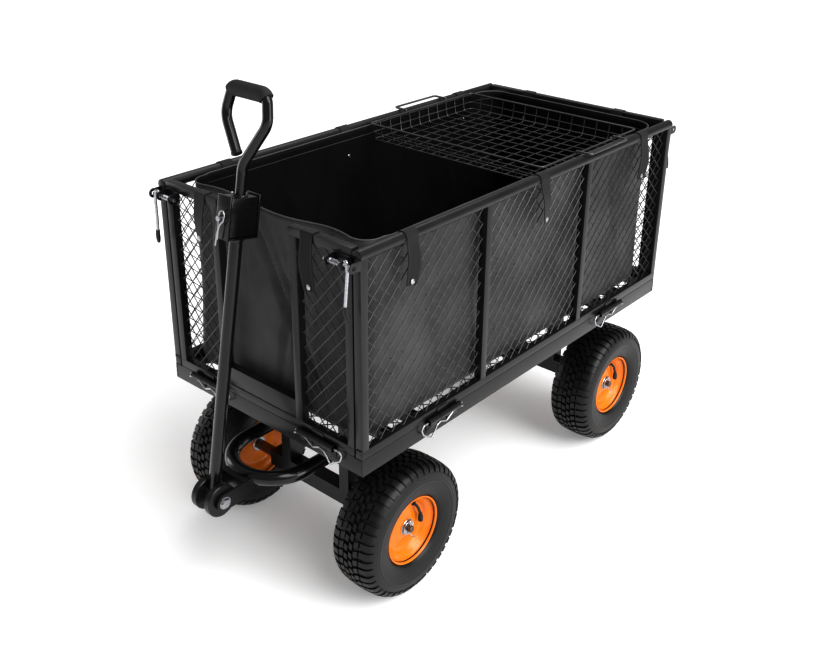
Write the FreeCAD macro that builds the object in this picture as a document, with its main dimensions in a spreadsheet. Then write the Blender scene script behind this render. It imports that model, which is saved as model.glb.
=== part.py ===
import FreeCAD, Part
import Sketcher
import math
import os

# Steel garden cart: four pneumatic wheels, an open-mesh deck, four fold-down mesh panels,
# a fabric liner, a wire tray that hangs on the side rails, and a tow bar that steers the front axle.
# Millimetres. +Z is up, the tow bar is at the -Y end, the origin is on the ground under the
# middle of the whole cart, so the middle of the bed lies bed_shift towards +Y.

SIZES = {
    # bed and panels
    "bed_length": 1220, "bed_width": 620, "bed_shift": 80,
    "skirt_top": 450, "skirt_height": 40, "skirt_wall": 3, "skirt_leg": 26,
    "panel_gap": 0.5, "end_gap": 3.5, "post_width": 20, "rail_top": 918, "rail_radius": 12.5,
    "bay_post": 203, "notch_half": 112, "kick_height": 66, "kick_wall": 3,
    "mesh_thick": 3.5, "mesh_pitch": 70, "mesh_strand": 5,
    "crossbar_width": 25, "crossbar_near": 45,
    # hinges under the panels
    "hinge_offset": 8, "hinge_radius": 7, "hinge_wire": 2.5, "hinge_knuckle": 36,
    "hinge_leaf": 2.5, "hinge_side": 355, "hinge_end": 180, "running_gap": 0.05,
    # corner latches
    "latch_drop": 29, "latch_proud": 18, "latch_rod": 3.5, "latch_ear": 3,
    "latch_leg": 85, "latch_sleeve": 30, "latch_short": 1.5,
    # wheels and axles
    "track_half": 255, "wheelbase_half": 437, "tyre_radius": 168, "tyre_width": 122,
    "flange_radius": 84, "flange_offset": 47, "seat_radius": 76, "well_radius": 66,
    "rim_wall": 2.5, "hub_radius": 20, "hub_bore": 14, "hub_half": 30,
    "axle_radius": 8, "axle_end": 302, "beam_width": 40, "beam_half": 160, "leg_width": 30,
    "kingpin_radius": 8, "plate_thick": 6,
    # tow gear
    "hoop_height": 314, "hoop_radius": 100, "hoop_tube": 17, "hoop_reach": 239,
    "pivot_reach": 323, "pivot_height": 295, "pivot_bolt": 6, "bar_lean": 10.7,
    "bar_tube": 14, "bar_wall": 2.5, "bar_length": 589, "foot_radius": 38, "foot_width": 16,
    "bracket_inner": 34, "bracket_wall": 5, "bracket_height": 46,
    "yoke_width": 40, "yoke_gap": 70, "yoke_wall": 5, "yoke_height": 86,
    "handle_tube": 11, "handle_half": 61, "grip_rise": 208, "grip_radius": 16, "pin_radius": 6,
    # liner, straps and tray
    "liner_gap": 6, "liner_wall": 2.5, "liner_top": 890, "liner_dip": 848,
    "strap_width": 36, "strap_thick": 2, "strap_hang": 118,
    "tray_half": 276, "tray_front": 40, "tray_rear": 480, "tray_depth": 52, "tray_wire": 3,
}

AXES = {
    "x": FreeCAD.Vector(1, 0, 0),
    "y": FreeCAD.Vector(0, 1, 0),
    "z": FreeCAD.Vector(0, 0, 1),
}

doc = FreeCAD.newDocument("GardenCart")
sheet = doc.addObject("Spreadsheet::Sheet", "Sizes")
nodes = []


class Size:
    """A number that remembers the spreadsheet expression it comes from."""

    def __init__(self, value, text):
        self.value = float(value)
        self.text = text

    def __add__(self, other):
        other = as_size(other)
        return Size(self.value + other.value, f"({self.text} + {other.text})")

    def __sub__(self, other):
        other = as_size(other)
        return Size(self.value - other.value, f"({self.text} - {other.text})")

    def __mul__(self, other):
        other = as_size(other)
        return Size(self.value * other.value, f"({self.text} * {other.text})")

    def __truediv__(self, other):
        other = as_size(other)
        return Size(self.value / other.value, f"({self.text} / {other.text})")

    def __radd__(self, other):
        return as_size(other) + self

    def __rsub__(self, other):
        return as_size(other) - self

    def __rmul__(self, other):
        return as_size(other) * self

    def __neg__(self):
        return Size(-self.value, f"(0 - {self.text})")


def as_size(number):
    return number if isinstance(number, Size) else Size(number, f"({float(number)})")


class Named:
    """The driving dimensions by name."""


def fill_sheet():
    named = Named()
    for row, (name, value) in enumerate(SIZES.items(), start=1):
        sheet.set(f"A{row}", name)
        sheet.set(f"B{row}", str(value))
        sheet.setAlias(f"B{row}", name)
        setattr(named, name, Size(value, f"Sizes.{name}"))
    doc.recompute()
    return named


s = fill_sheet()
panel_base = s.skirt_top + s.panel_gap
rail_middle = s.rail_top - s.rail_radius
front_axle_y = s.bed_shift - s.wheelbase_half
rear_axle_y = s.bed_shift + s.wheelbase_half
pivot_y = front_axle_y - s.pivot_reach


# ---------------------------------------------------------------- helpers

def bind(piece, place, size):
    piece.setExpression(place, as_size(size).text)


def place(piece, point, turn=None):
    if turn is not None:
        piece.Placement = FreeCAD.Placement(FreeCAD.Vector(), turn)
    for letter, value in zip("xyz", point):
        bind(piece, f"Placement.Base.{letter}", value)
    return piece


def box(low, high):
    piece = doc.addObject("Part::Box", "Block")
    for side, start, end in zip(("Length", "Width", "Height"), low, high):
        bind(piece, side, end - start)
    return place(piece, low)


def rod(axis, start, length, radius):
    """A round bar from start, along +X, +Y or +Z."""
    piece = doc.addObject("Part::Cylinder", "Round")
    bind(piece, "Radius", radius)
    bind(piece, "Height", length)
    return place(piece, start, FreeCAD.Rotation(AXES["z"], AXES[axis]))


def join(pieces):
    whole = doc.addObject("Part::MultiFuse", "Join")
    whole.Shapes = pieces
    whole.Refine = True
    return whole


def carve(base, tool):
    whole = doc.addObject("Part::Cut", "Carve")
    whole.Base = base
    whole.Tool = tool
    return whole


def group(pieces):
    whole = doc.addObject("Part::Compound", "Set")
    whole.Links = pieces
    return whole


def node(label, piece):
    piece.Label = label
    nodes.append(piece)
    return piece


def plane(body, role):
    return next(item for item in body.Origin.OriginFeatures if item.Role == role)


def sketch_on(body, role, name):
    sketch = body.newObject("Sketcher::SketchObject", name)
    sketch.AttachmentSupport = [(plane(body, role), "")]
    sketch.MapMode = "FlatFace"
    return sketch


def closed_outline(sketch, points):
    """A closed polygon whose corners are pinned to the sheet's sizes."""
    corners = [(as_size(across), as_size(up)) for across, up in points]
    count = len(corners)
    for index, corner in enumerate(corners):
        after = corners[(index + 1) % count]
        sketch.addGeometry(Part.LineSegment(
            FreeCAD.Vector(corner[0].value, corner[1].value, 0),
            FreeCAD.Vector(after[0].value, after[1].value, 0)))
    for index in range(count):
        sketch.addConstraint(Sketcher.Constraint("Coincident", index, 2, (index + 1) % count, 1))
    for index, corner in enumerate(corners):
        for kind, size in zip(("DistanceX", "DistanceY"), corner):
            number = sketch.addConstraint(Sketcher.Constraint(kind, -1, 1, index, 1, size.value))
            sketch.setExpression(f"Constraints[{number}]", size.text)


def turned(points):
    """A solid of revolution about the body's X axis; each point is (along X, radius)."""
    body = doc.addObject("PartDesign::Body", "Turned")
    sketch = sketch_on(body, "XZ_Plane", "Outline")
    closed_outline(sketch, points)
    turn = body.newObject("PartDesign::Revolution", "Turn")
    turn.Profile = sketch
    turn.ReferenceAxis = (sketch, ["H_Axis"])
    turn.Angle = 360
    sketch.Visibility = False
    return body


def rounded_path(points, bends):
    """Straight runs through the points, joined by tangent arcs of the given radii."""
    points = [FreeCAD.Vector(x, y, 0) for x, y in points]
    edges = []
    start = points[0]
    for corner, after, radius in zip(points[1:-1], points[2:], bends):
        arriving = (corner - start).normalize()
        leaving = (after - corner).normalize()
        turn = arriving.getAngle(leaving)
        setback = radius * math.tan(turn / 2)
        entry = corner - arriving * setback
        exit_point = corner + leaving * setback
        inward = (leaving - arriving).normalize()
        middle = corner + inward * (radius / math.cos(turn / 2) - radius)
        edges.append(Part.LineSegment(start, entry))
        edges.append(Part.Arc(entry, middle, exit_point))
        start = exit_point
    edges.append(Part.LineSegment(start, points[-1]))
    return edges


def bent_bar(path_role, section_role, points, bends, radius, bore=None):
    """A bar or tube bent along a flat path that starts at the body's origin."""
    body = doc.addObject("PartDesign::Body", "Bent")
    spine = sketch_on(body, path_role, "Path")
    for edge in rounded_path(points, bends):
        spine.addGeometry(edge)
    section = sketch_on(body, section_role, "Section")
    for number, size in enumerate([radius] if bore is None else [radius, bore]):
        size = as_size(size)
        section.addGeometry(Part.Circle(FreeCAD.Vector(), AXES["z"], size.value))
        section.addConstraint(Sketcher.Constraint("Coincident", number, 3, -1, 1))
        limit = section.addConstraint(Sketcher.Constraint("Radius", number, size.value))
        section.setExpression(f"Constraints[{limit}]", size.text)
    doc.recompute()
    pipe = body.newObject("PartDesign::AdditivePipe", "Pipe")
    pipe.Profile = section
    pipe.Spine = (spine, [])
    pipe.Transition = "Round corner"
    return body


def holed_sheet(width, height, thick, holes):
    """A flat sheet standing on its origin corner in XY, with the given hole outlines."""
    outline = [(0, 0), (width, 0), (width, height), (0, height)]
    wires = []
    for corners in [outline] + holes:
        loop = [FreeCAD.Vector(x, y, 0) for x, y in corners]
        wires.append(Part.makePolygon(loop + loop[:1]))
    return Part.Face(wires, "Part::FaceMakerBullseye").extrude(FreeCAD.Vector(0, 0, thick))


def diamonds(width, height):
    """Staggered diamond openings, as in square wire mesh turned by 45 degrees."""
    across = max(1, round(width / s.mesh_pitch.value))
    up = max(1, round(height / s.mesh_pitch.value))
    step_x, step_y = width / across, height / up
    strand = s.mesh_strand.value / math.sqrt(2)
    reach_x, reach_y = step_x / 2 - strand, step_y / 2 - strand
    middles = [((i + 0.5) * step_x, (j + 0.5) * step_y) for i in range(across) for j in range(up)]
    middles += [(i * step_x, j * step_y) for i in range(1, across) for j in range(1, up)]
    return [[(x - reach_x, y), (x, y - reach_y), (x + reach_x, y), (x, y + reach_y)]
            for x, y in middles]


def squares(width, height, pitch, strand):
    """Square openings on a regular grid."""
    across, up = max(1, round(width / pitch)), max(1, round(height / pitch))
    step_x, step_y = width / across, height / up
    return [[(i * step_x + strand / 2, j * step_y + strand / 2),
             ((i + 1) * step_x - strand / 2, j * step_y + strand / 2),
             ((i + 1) * step_x - strand / 2, (j + 1) * step_y - strand / 2),
             (i * step_x + strand / 2, (j + 1) * step_y - strand / 2)]
            for i in range(across) for j in range(up)]


def sheet_feature(shape, base, rotation):
    piece = doc.addObject("Part::Feature", "Sheet")
    piece.Shape = shape
    piece.Placement = FreeCAD.Placement(base, rotation)
    return piece


# ---------------------------------------------------------------- walls of the bed
# A wall's pieces are given along the wall, outward from the bed's middle, and up.

WALLS = ("left", "right", "front", "rear")


def outer_face(wall):
    return s.bed_width / 2 if wall in ("left", "right") else s.bed_length / 2


def wall_box(wall, along, outward, up):
    out_low, out_high = outward
    if wall in ("right", "front"):
        out_low, out_high = -as_size(out_high), -as_size(out_low)
    if wall in ("left", "right"):
        low = (out_low, as_size(along[0]) + s.bed_shift, up[0])
        high = (out_high, as_size(along[1]) + s.bed_shift, up[1])
    else:
        low = (along[0], as_size(out_low) + s.bed_shift, up[0])
        high = (along[1], as_size(out_high) + s.bed_shift, up[1])
    return box([as_size(v) for v in low], [as_size(v) for v in high])


def wall_rod(wall, along, outward, up, radius):
    """A round bar that runs along the wall."""
    sign = -1 if wall in ("right", "front") else 1
    length = as_size(along[1]) - along[0]
    if wall in ("left", "right"):
        return rod("y", (outward * sign, as_size(along[0]) + s.bed_shift, up), length, radius)
    return rod("x", (as_size(along[0]), outward * sign + s.bed_shift, up), length, radius)


def hinge_places(wall):
    spot = s.hinge_side if wall in ("left", "right") else s.hinge_end
    return (-spot, spot)


def hinge_line(wall):
    return outer_face(wall) + s.hinge_offset


def panel_knuckle(wall, spot):
    """The panel's middle knuckle with its leaf."""
    face = outer_face(wall)
    half = s.hinge_knuckle / 2 - 0.5
    leaf = wall_box(wall, (spot - half, spot + half), (face, face + s.hinge_leaf),
                    (s.skirt_top + 2, s.skirt_top + 18))
    barrel = wall_rod(wall, (spot - half, spot + half), hinge_line(wall), s.skirt_top, s.hinge_radius)
    return [leaf, barrel]


def deck_knuckles(wall, spot):
    """The two outer knuckles on the deck's skirt, bored for the pin."""
    face = outer_face(wall)
    pieces = []
    for start, end in ((-1.5, -0.5), (0.5, 1.5)):
        along = (spot + s.hinge_knuckle * start, spot + s.hinge_knuckle * end)
        leaf = wall_box(wall, along, (face, face + s.hinge_leaf), (s.skirt_top - 24, s.skirt_top - 2))
        barrel = wall_rod(wall, along, hinge_line(wall), s.skirt_top, s.hinge_radius)
        bore = wall_rod(wall, (along[0] - 1, along[1] + 1), hinge_line(wall), s.skirt_top,
                        s.hinge_wire + s.running_gap)
        pieces.append(carve(join([leaf, barrel]), bore))
    return pieces


def hinge_pin(wall, spot):
    """A wire pin with a turned-down end."""
    reach = s.hinge_knuckle * 1.5 + 6
    sign = -1 if wall in ("right", "front") else 1
    along = (spot - reach, spot + reach + s.hinge_wire)
    straight = wall_rod(wall, along, hinge_line(wall), s.skirt_top, s.hinge_wire)
    tail_out = hinge_line(wall) * sign
    if wall in ("left", "right"):
        tail_foot = (tail_out, spot + reach + s.bed_shift, s.skirt_top - 22)
    else:
        tail_foot = (spot + reach, tail_out + s.bed_shift, s.skirt_top - 22)
    tail = rod("z", tail_foot, as_size(22), s.hinge_wire * 0.9)
    return join([straight, tail])


def latch_places(wall):
    """Latches sit on the two end panels only, one at each top corner."""
    return (-1, 1) if wall in ("front", "rear") else ()


latch_height = s.rail_top - s.latch_drop
latch_line = s.bed_length / 2 + s.latch_proud
EAR_INNER, EAR_OUTER = 240, 280
ROD_INNER, LEG_AT = 230, 296
KEEPER_INNER = s.bed_width / 2 - s.latch_ear


def latch_bracket(wall, side):
    """Back plate and two ears that carry the latch rod."""
    face = outer_face(wall)
    up = (latch_height - 13, latch_height + 13)
    spans = [((EAR_INNER - 4, EAR_OUTER + 7), (face, face + 2)),
             ((EAR_INNER, EAR_INNER + s.latch_ear), (face, latch_line + 10)),
             ((EAR_OUTER, EAR_OUTER + s.latch_ear), (face, latch_line + 10))]
    pieces = []
    for (start, end), outward in spans:
        start, end = as_size(start), as_size(end)
        along = (start, end) if side > 0 else (-end, -start)
        pieces.append(wall_box(wall, along, outward, up))
    return pieces


def latch_bore(wall, side):
    inner, outer = as_size(EAR_INNER - 8), as_size(EAR_OUTER + 8)
    along = (inner, outer) if side > 0 else (-outer, -inner)
    return wall_rod(wall, along, latch_line, latch_height, s.latch_rod + s.running_gap)


def panel_frame(wall, half, posts, round_rail=False, notch=False):
    """Rails, posts, hinge knuckles and latch brackets of one panel, welded into one frame."""
    face = outer_face(wall)
    depth = (face - s.post_width, face)
    pieces = [wall_box(wall, (-half, half), depth, (panel_base, panel_base + s.post_width))]
    for spot in posts:
        along = (spot - s.post_width / 2, spot + s.post_width / 2)
        post_top = rail_middle if round_rail else s.rail_top - s.post_width / 2
        pieces.append(wall_box(wall, along, depth, (panel_base + s.post_width / 2, post_top)))
    if round_rail:
        middle = face - s.post_width / 2
        pieces.append(wall_rod(wall, (-half, half), middle, rail_middle, s.rail_radius))
    else:
        spans = [(-half, -s.notch_half), (s.notch_half, half)] if notch else [(-half, half)]
        for along in spans:
            pieces.append(wall_box(wall, along, depth, (s.rail_top - s.post_width, s.rail_top)))
    if notch:
        along = (-s.notch_half, s.notch_half)
        kick_top = s.skirt_top + s.kick_height
        pieces.append(wall_box(wall, along, (face - s.kick_wall, face), (panel_base, kick_top)))
        pieces.append(wall_box(wall, along, depth, (kick_top - s.kick_wall, kick_top)))
    for spot in hinge_places(wall):
        pieces += panel_knuckle(wall, spot)
    for side in latch_places(wall):
        pieces += latch_bracket(wall, side)
    bores = [wall_rod(wall, (spot - s.hinge_knuckle, spot + s.hinge_knuckle), hinge_line(wall),
                      s.skirt_top, s.hinge_wire + s.running_gap) for spot in hinge_places(wall)]
    bores += [latch_bore(wall, side) for side in latch_places(wall)]
    return carve(join(pieces), join(bores))


def keeper_tabs(wall):
    """Tabs butted to the ends of a side panel, which the latch noses enter."""
    up = (latch_height - 13, latch_height + 13)
    outward = (KEEPER_INNER, s.bed_width / 2)
    end = s.bed_length / 2
    tip = latch_line + 10
    return [wall_box(wall, (-tip, -end), outward, up), wall_box(wall, (end, tip), outward, up)]


def keeper_bores(wall):
    sign = -1 if wall == "right" else 1
    start = (KEEPER_INNER - 4) * sign if sign > 0 else -(s.bed_width / 2 + 4)
    return [rod("x", (start, end * latch_line + s.bed_shift, latch_height), 11, s.latch_rod + 2.5)
            for end in (-1, 1)]


def mesh_panel(wall, spans):
    """Wire mesh welded between the rails and posts, one sheet per bay."""
    thick = s.mesh_thick.value
    inside = outer_face(wall).value - s.post_width.value / 2 - thick / 2
    round_rail = wall in ("left", "right")
    low = (panel_base + s.post_width).value
    rail_under = s.rail_top - (s.rail_radius * 2 if round_rail else s.post_width)
    height = rail_under.value - low
    shift = s.bed_shift.value
    sheets = []
    for start, end in spans:
        width = end - start
        shape = holed_sheet(width, height, thick, diamonds(width, height))
        if wall in ("left", "right"):
            out = inside if wall == "left" else -inside - thick
            base = FreeCAD.Vector(out, start + shift, low)
            rotation = FreeCAD.Rotation(AXES["y"], AXES["z"], AXES["x"], "XYZ")
        else:
            out = -inside if wall == "front" else inside + thick
            base = FreeCAD.Vector(start, out + shift, low)
            rotation = FreeCAD.Rotation(AXES["x"], AXES["z"], -AXES["y"], "XYZ")
        sheets.append(sheet_feature(shape, base, rotation))
    return sheets[0] if len(sheets) == 1 else group(sheets)


def straps(wall, spots):
    """Webbing loops that hold the liner: over the rail and hanging down outside."""
    face = outer_face(wall)
    round_rail = wall in ("left", "right")
    outer = face + 3 if round_rail else face + 2.5
    inner = face - s.post_width - 5
    top = s.rail_top + 0.5
    loops = []
    for spot in spots:
        along = (as_size(spot) - s.strap_width / 2, as_size(spot) + s.strap_width / 2)
        hang = wall_box(wall, along, (outer, outer + s.strap_thick), (s.rail_top - s.strap_hang, top))
        over = wall_box(wall, along, (inner, outer + s.strap_thick), (top, top + s.strap_thick))
        back = wall_box(wall, along, (inner, inner + s.strap_thick), (s.liner_top + 6, top))
        loops.append(join([hang, over, back]))
    return group(loops)


def latch(wall, side):
    """A round bolt with a hanging handle leg and a vinyl sleeve on its end."""
    sign = -1 if wall == "front" else 1
    line = latch_line * sign + s.bed_shift
    nose = KEEPER_INNER - s.latch_short
    bolt_start = as_size(ROD_INNER) if side > 0 else -nose
    bolt = rod("x", (bolt_start, line, latch_height), nose - ROD_INNER, s.latch_rod)
    leg_foot = latch_height - s.latch_leg
    leg = rod("z", (as_size(LEG_AT * side), line, leg_foot), s.latch_leg, s.latch_rod)
    sleeve = rod("z", (as_size(LEG_AT * side), line, leg_foot - s.latch_sleeve), s.latch_sleeve, 5)
    return group([join([bolt, leg]), sleeve])


# ---------------------------------------------------------------- bed

def skirt_angle(wall):
    face = outer_face(wall)
    low, high = s.skirt_top - s.skirt_height, s.skirt_top
    half = s.bed_length / 2 if wall in ("left", "right") else s.bed_width / 2 - s.skirt_wall
    leg_half = half if wall in ("left", "right") else s.bed_width / 2 - s.skirt_leg
    web = wall_box(wall, (-half, half), (face - s.skirt_wall, face), (low, high))
    leg = wall_box(wall, (-leg_half, leg_half), (face - s.skirt_leg, face), (high - s.skirt_wall, high))
    return join([web, leg])


def build_bed():
    node("chassis_frame", group([skirt_angle(wall) for wall in WALLS]))
    width = (s.bed_width - s.skirt_wall * 2).value
    length = (s.bed_length - s.skirt_wall * 2).value
    deck_low = (s.skirt_top - s.skirt_wall - s.mesh_thick).value
    shape = holed_sheet(width, length, s.mesh_thick.value, diamonds(width, length))
    base = FreeCAD.Vector(-width / 2, s.bed_shift.value - length / 2, deck_low)
    node("deck_mesh", sheet_feature(shape, base, FreeCAD.Rotation()))
    half = s.bed_width / 2 - s.skirt_wall
    bar_top = s.skirt_top - s.skirt_wall - s.mesh_thick
    bar_low = bar_top - s.crossbar_width
    bars = []
    for middle in (front_axle_y - s.crossbar_near, front_axle_y + s.crossbar_near, s.bed_shift,
                   rear_axle_y - s.crossbar_near, rear_axle_y + s.crossbar_near):
        bars.append(box((-half, middle - s.crossbar_width / 2, bar_low),
                        (half, middle + s.crossbar_width / 2, bar_top)))
    node("deck_crossbars", group(bars + [turntable_plate(bar_low)]))
    knuckles = [piece for wall in WALLS for spot in hinge_places(wall)
                for piece in deck_knuckles(wall, spot)]
    node("hinge_barrels", group(knuckles))
    node("hinge_pins", group([hinge_pin(wall, spot) for wall in WALLS for spot in hinge_places(wall)]))
    return bar_low


def turntable_plate(bar_low):
    """Bearing plate welded under the front crossbars and bored for the kingpin."""
    plate_low = bar_low - s.plate_thick
    plate = box((as_size(-100), front_axle_y - 65, plate_low), (as_size(100), front_axle_y + 65, bar_low))
    bore = rod("z", (as_size(0), front_axle_y, plate_low - 1), s.plate_thick + 2, s.kingpin_radius)
    return carve(plate, bore)


def build_kingpin(bar_low):
    plate_low = bar_low - s.plate_thick
    nut_top = plate_low - 0.5 - s.plate_thick - 2 - 0.3
    centre = (as_size(0), front_axle_y)
    shank = rod("z", (*centre, nut_top - 14), bar_low - nut_top + 14, s.kingpin_radius)
    head = rod("z", (*centre, bar_low), 9, 13)
    nut = rod("z", (*centre, nut_top - 12), 12, 14)
    node("kingpin", join([shank, head, nut]))
    return plate_low


def axle_frame(middle, top):
    """Top plate, two legs and the beam that holds the axle."""
    plate = box((as_size(-120), middle - 50, top - s.plate_thick - 2), (as_size(120), middle + 50, top))
    legs = [box((as_size(spot) - s.leg_width / 2, middle - s.beam_width / 2, s.tyre_radius),
                (as_size(spot) + s.leg_width / 2, middle + s.beam_width / 2, top - s.plate_thick))
            for spot in (-100, 100)]
    beam = box((-s.beam_half, middle - s.beam_width / 2, s.tyre_radius - s.beam_width / 2),
               (s.beam_half, middle + s.beam_width / 2, s.tyre_radius + s.beam_width / 2))
    bore = rod("x", (-s.beam_half - 1, middle, s.tyre_radius), s.beam_half * 2 + 2,
               s.axle_radius + s.running_gap)
    return carve(join([plate, *legs, beam]), bore)


def axle(middle):
    """The axle with its two collars and cross-drilled ends."""
    bar = rod("x", (-s.axle_end, middle, s.tyre_radius), s.axle_end * 2, s.axle_radius)
    collar = s.track_half - s.hub_half - s.beam_half - 0.5
    collars = [rod("x", (start, middle, s.tyre_radius), collar, 13)
               for start in (s.beam_half, -s.beam_half - collar)]
    holes = [rod("z", (spot, middle, s.tyre_radius - 12), 24, 2.1) for spot in pin_spots()]
    return carve(join([bar, *collars]), join(holes))


def pin_spots():
    spot = s.track_half + s.hub_half + 8
    return (spot, -spot)


def retainers(middle):
    """A washer and a cotter pin at each axle end."""
    pieces = []
    face = s.track_half + s.hub_half + 0.5
    for start in (face, -face - 3):
        disc = rod("x", (start, middle, s.tyre_radius), 3, 17)
        bore = rod("x", (start - 1, middle, s.tyre_radius), 5, s.axle_radius + s.running_gap)
        pieces.append(carve(disc, bore))
    for spot in pin_spots():
        pieces.append(rod("z", (spot, middle, s.tyre_radius - 15), 30, 2))
    return group(pieces)


def build_axles(bar_low, plate_low):
    node("rear_axle_frame", axle_frame(rear_axle_y, bar_low))
    node("rear_axle", axle(rear_axle_y))
    node("rear_axle_retainers", retainers(rear_axle_y))
    front_top = plate_low - 0.5
    bore = rod("z", (as_size(0), front_axle_y, front_top - 20), 24, s.kingpin_radius + s.running_gap)
    node("front_axle_frame", carve(axle_frame(front_axle_y, front_top), bore))
    node("front_axle", axle(front_axle_y))
    node("front_axle_retainers", retainers(front_axle_y))


# ---------------------------------------------------------------- wheels

def tyre_outline():
    half, outer = s.tyre_width / 2, s.tyre_radius
    bead = s.flange_offset - s.rim_wall - 0.2
    seat = s.seat_radius + s.rim_wall
    right = [(bead, seat), (bead, s.flange_radius + 0.5), (half - 11, s.flange_radius + 6),
             (half - 2, s.flange_radius + 22), (half, outer - 45), (half - 1, outer - 24),
             (half - 7, outer - 7), (half - 16, outer)]
    inner = [(bead - 8, seat), (bead - 8, s.flange_radius + 4), (half - 9, s.flange_radius + 26),
             (half - 9, outer - 40), (half - 14, outer - 20), (half - 26, outer - 13)]
    left = [(-as_size(along), radius) for along, radius in reversed(right)]
    inner_left = [(-as_size(along), radius) for along, radius in inner]
    return right + left + inner_left + list(reversed(inner))


def rim_outline():
    """Flanges, bead seats and drop well, with both faces of the pressing."""
    flange, wall = s.flange_offset, s.rim_wall
    right_out = [(as_size(24), s.well_radius + wall), (as_size(34), s.seat_radius + wall),
                 (flange - wall, s.seat_radius + wall), (flange - wall, s.flange_radius),
                 (flange, s.flange_radius)]
    right_in = [(flange, s.seat_radius), (as_size(35), s.seat_radius), (as_size(25), s.well_radius)]
    right = right_out + right_in
    left = [(-along, radius) for along, radius in reversed(right)]
    return right + left


def build_wheel(name, side, middle):
    centre = (s.track_half * side, middle, s.tyre_radius)
    node(f"{name}_tyre", place(turned(tyre_outline()), centre))
    barrel = turned(rim_outline())
    discs = [carve(rod("x", (as_size(start), as_size(0), as_size(0)), s.rim_wall, s.well_radius + 1),
                   rod("x", (as_size(start - 1), as_size(0), as_size(0)), 6, s.hub_radius - 1))
             for start in (10, -12.5)]
    hub = carve(rod("x", (-s.hub_half, as_size(0), as_size(0)), s.hub_half * 2, s.hub_radius),
                rod("x", (-s.hub_half - 1, as_size(0), as_size(0)), s.hub_half * 2 + 2, s.hub_bore))
    valve_hole = rod("x", (as_size(8), as_size(0), s.well_radius - 16), 8, 6)
    barrel_hole = rod("z", (as_size(18), as_size(0), s.well_radius - 8), 14, 6)
    rim = carve(join([barrel, *discs, hub]), join([valve_hole, barrel_hole]))
    flip = FreeCAD.Rotation(AXES["z"], 0 if side > 0 else 180)
    node(f"{name}_rim", place(rim, centre, flip))
    rings = []
    for start in (-s.hub_half, s.hub_half - 14):
        ring = rod("x", (start, as_size(0), as_size(0)), 14, s.hub_bore)
        bore = rod("x", (start - 1, as_size(0), as_size(0)), 16, s.axle_radius + s.running_gap)
        rings.append(carve(ring, bore))
    node(f"{name}_bearings", place(group(rings), centre))
    tube = carve(ring_solid(118, 29), ring_solid(118, 26))
    stem = rod("z", (as_size(18), as_size(0), s.well_radius - 12), 46, 4)
    cap = rod("x", (as_size(16), as_size(0), s.well_radius - 14), 22, 4.5)
    node(f"{name}_inner_tube", place(join([tube, stem, cap]), centre, flip))


def ring_solid(middle_radius, section_radius):
    ring = doc.addObject("Part::Torus", "Ring")
    ring.Radius1 = middle_radius
    ring.Radius2 = section_radius
    ring.Placement = FreeCAD.Placement(FreeCAD.Vector(), FreeCAD.Rotation(AXES["z"], AXES["x"]))
    return ring


# ---------------------------------------------------------------- tow gear

def build_tow_hoop():
    leg_face = front_axle_y - s.beam_width / 2
    reach = s.hoop_reach.value - s.beam_width.value / 2
    radius = s.hoop_radius.value
    path = [(0, 0), (0, -reach), (2 * radius, -reach), (2 * radius, 0)]
    hoop = bent_bar("XY_Plane", "XZ_Plane", path, [radius - 0.01, radius - 0.01], s.hoop_tube,
                    s.hoop_tube - 3)
    node("tow_hoop", place(hoop, (-s.hoop_radius, leg_face, s.hoop_height)))
    ring = doc.addObject("Part::Torus", "Cope")
    bind(ring, "Radius1", s.hoop_radius)
    bind(ring, "Radius2", s.hoop_tube)
    place(ring, (as_size(0), front_axle_y - s.hoop_reach + s.hoop_radius, s.hoop_height))
    low, high = s.pivot_height - s.bracket_height / 2, s.pivot_height + s.bracket_height / 2
    front, back = pivot_y - 20, front_axle_y - s.hoop_reach + 6
    cheeks = [box((start, front, low), (start + s.bracket_wall, back, high))
              for start in (s.bracket_inner, -s.bracket_inner - s.bracket_wall)]
    web = box((-s.bracket_inner, back - 28, low), (s.bracket_inner, back, high))
    bore = rod("x", (as_size(-60), pivot_y, s.pivot_height), 120, s.pivot_bolt + s.running_gap)
    bracket = carve(join([*cheeks, web]), join([ring, bore]))
    node("tow_bracket", bracket)
    reach = s.bracket_inner + s.bracket_wall
    shank = rod("x", (-reach - 9, pivot_y, s.pivot_height), reach * 2 + 12, s.pivot_bolt)
    head = rod("x", (reach, pivot_y, s.pivot_height), 6, 11)
    nut = rod("x", (-reach - 7, pivot_y, s.pivot_height), 7, 11)
    node("tow_pivot_bolt", join([shank, head, nut]))


def on_bar(label, piece):
    """Parts of the tow bar are drawn upright on the pivot and then leaned back together."""
    piece.Placement = FreeCAD.Placement(
        FreeCAD.Vector(0, pivot_y.value, s.pivot_height.value),
        FreeCAD.Rotation(AXES["x"], -s.bar_lean.value)).multiply(piece.Placement)
    return node(label, piece)


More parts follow.
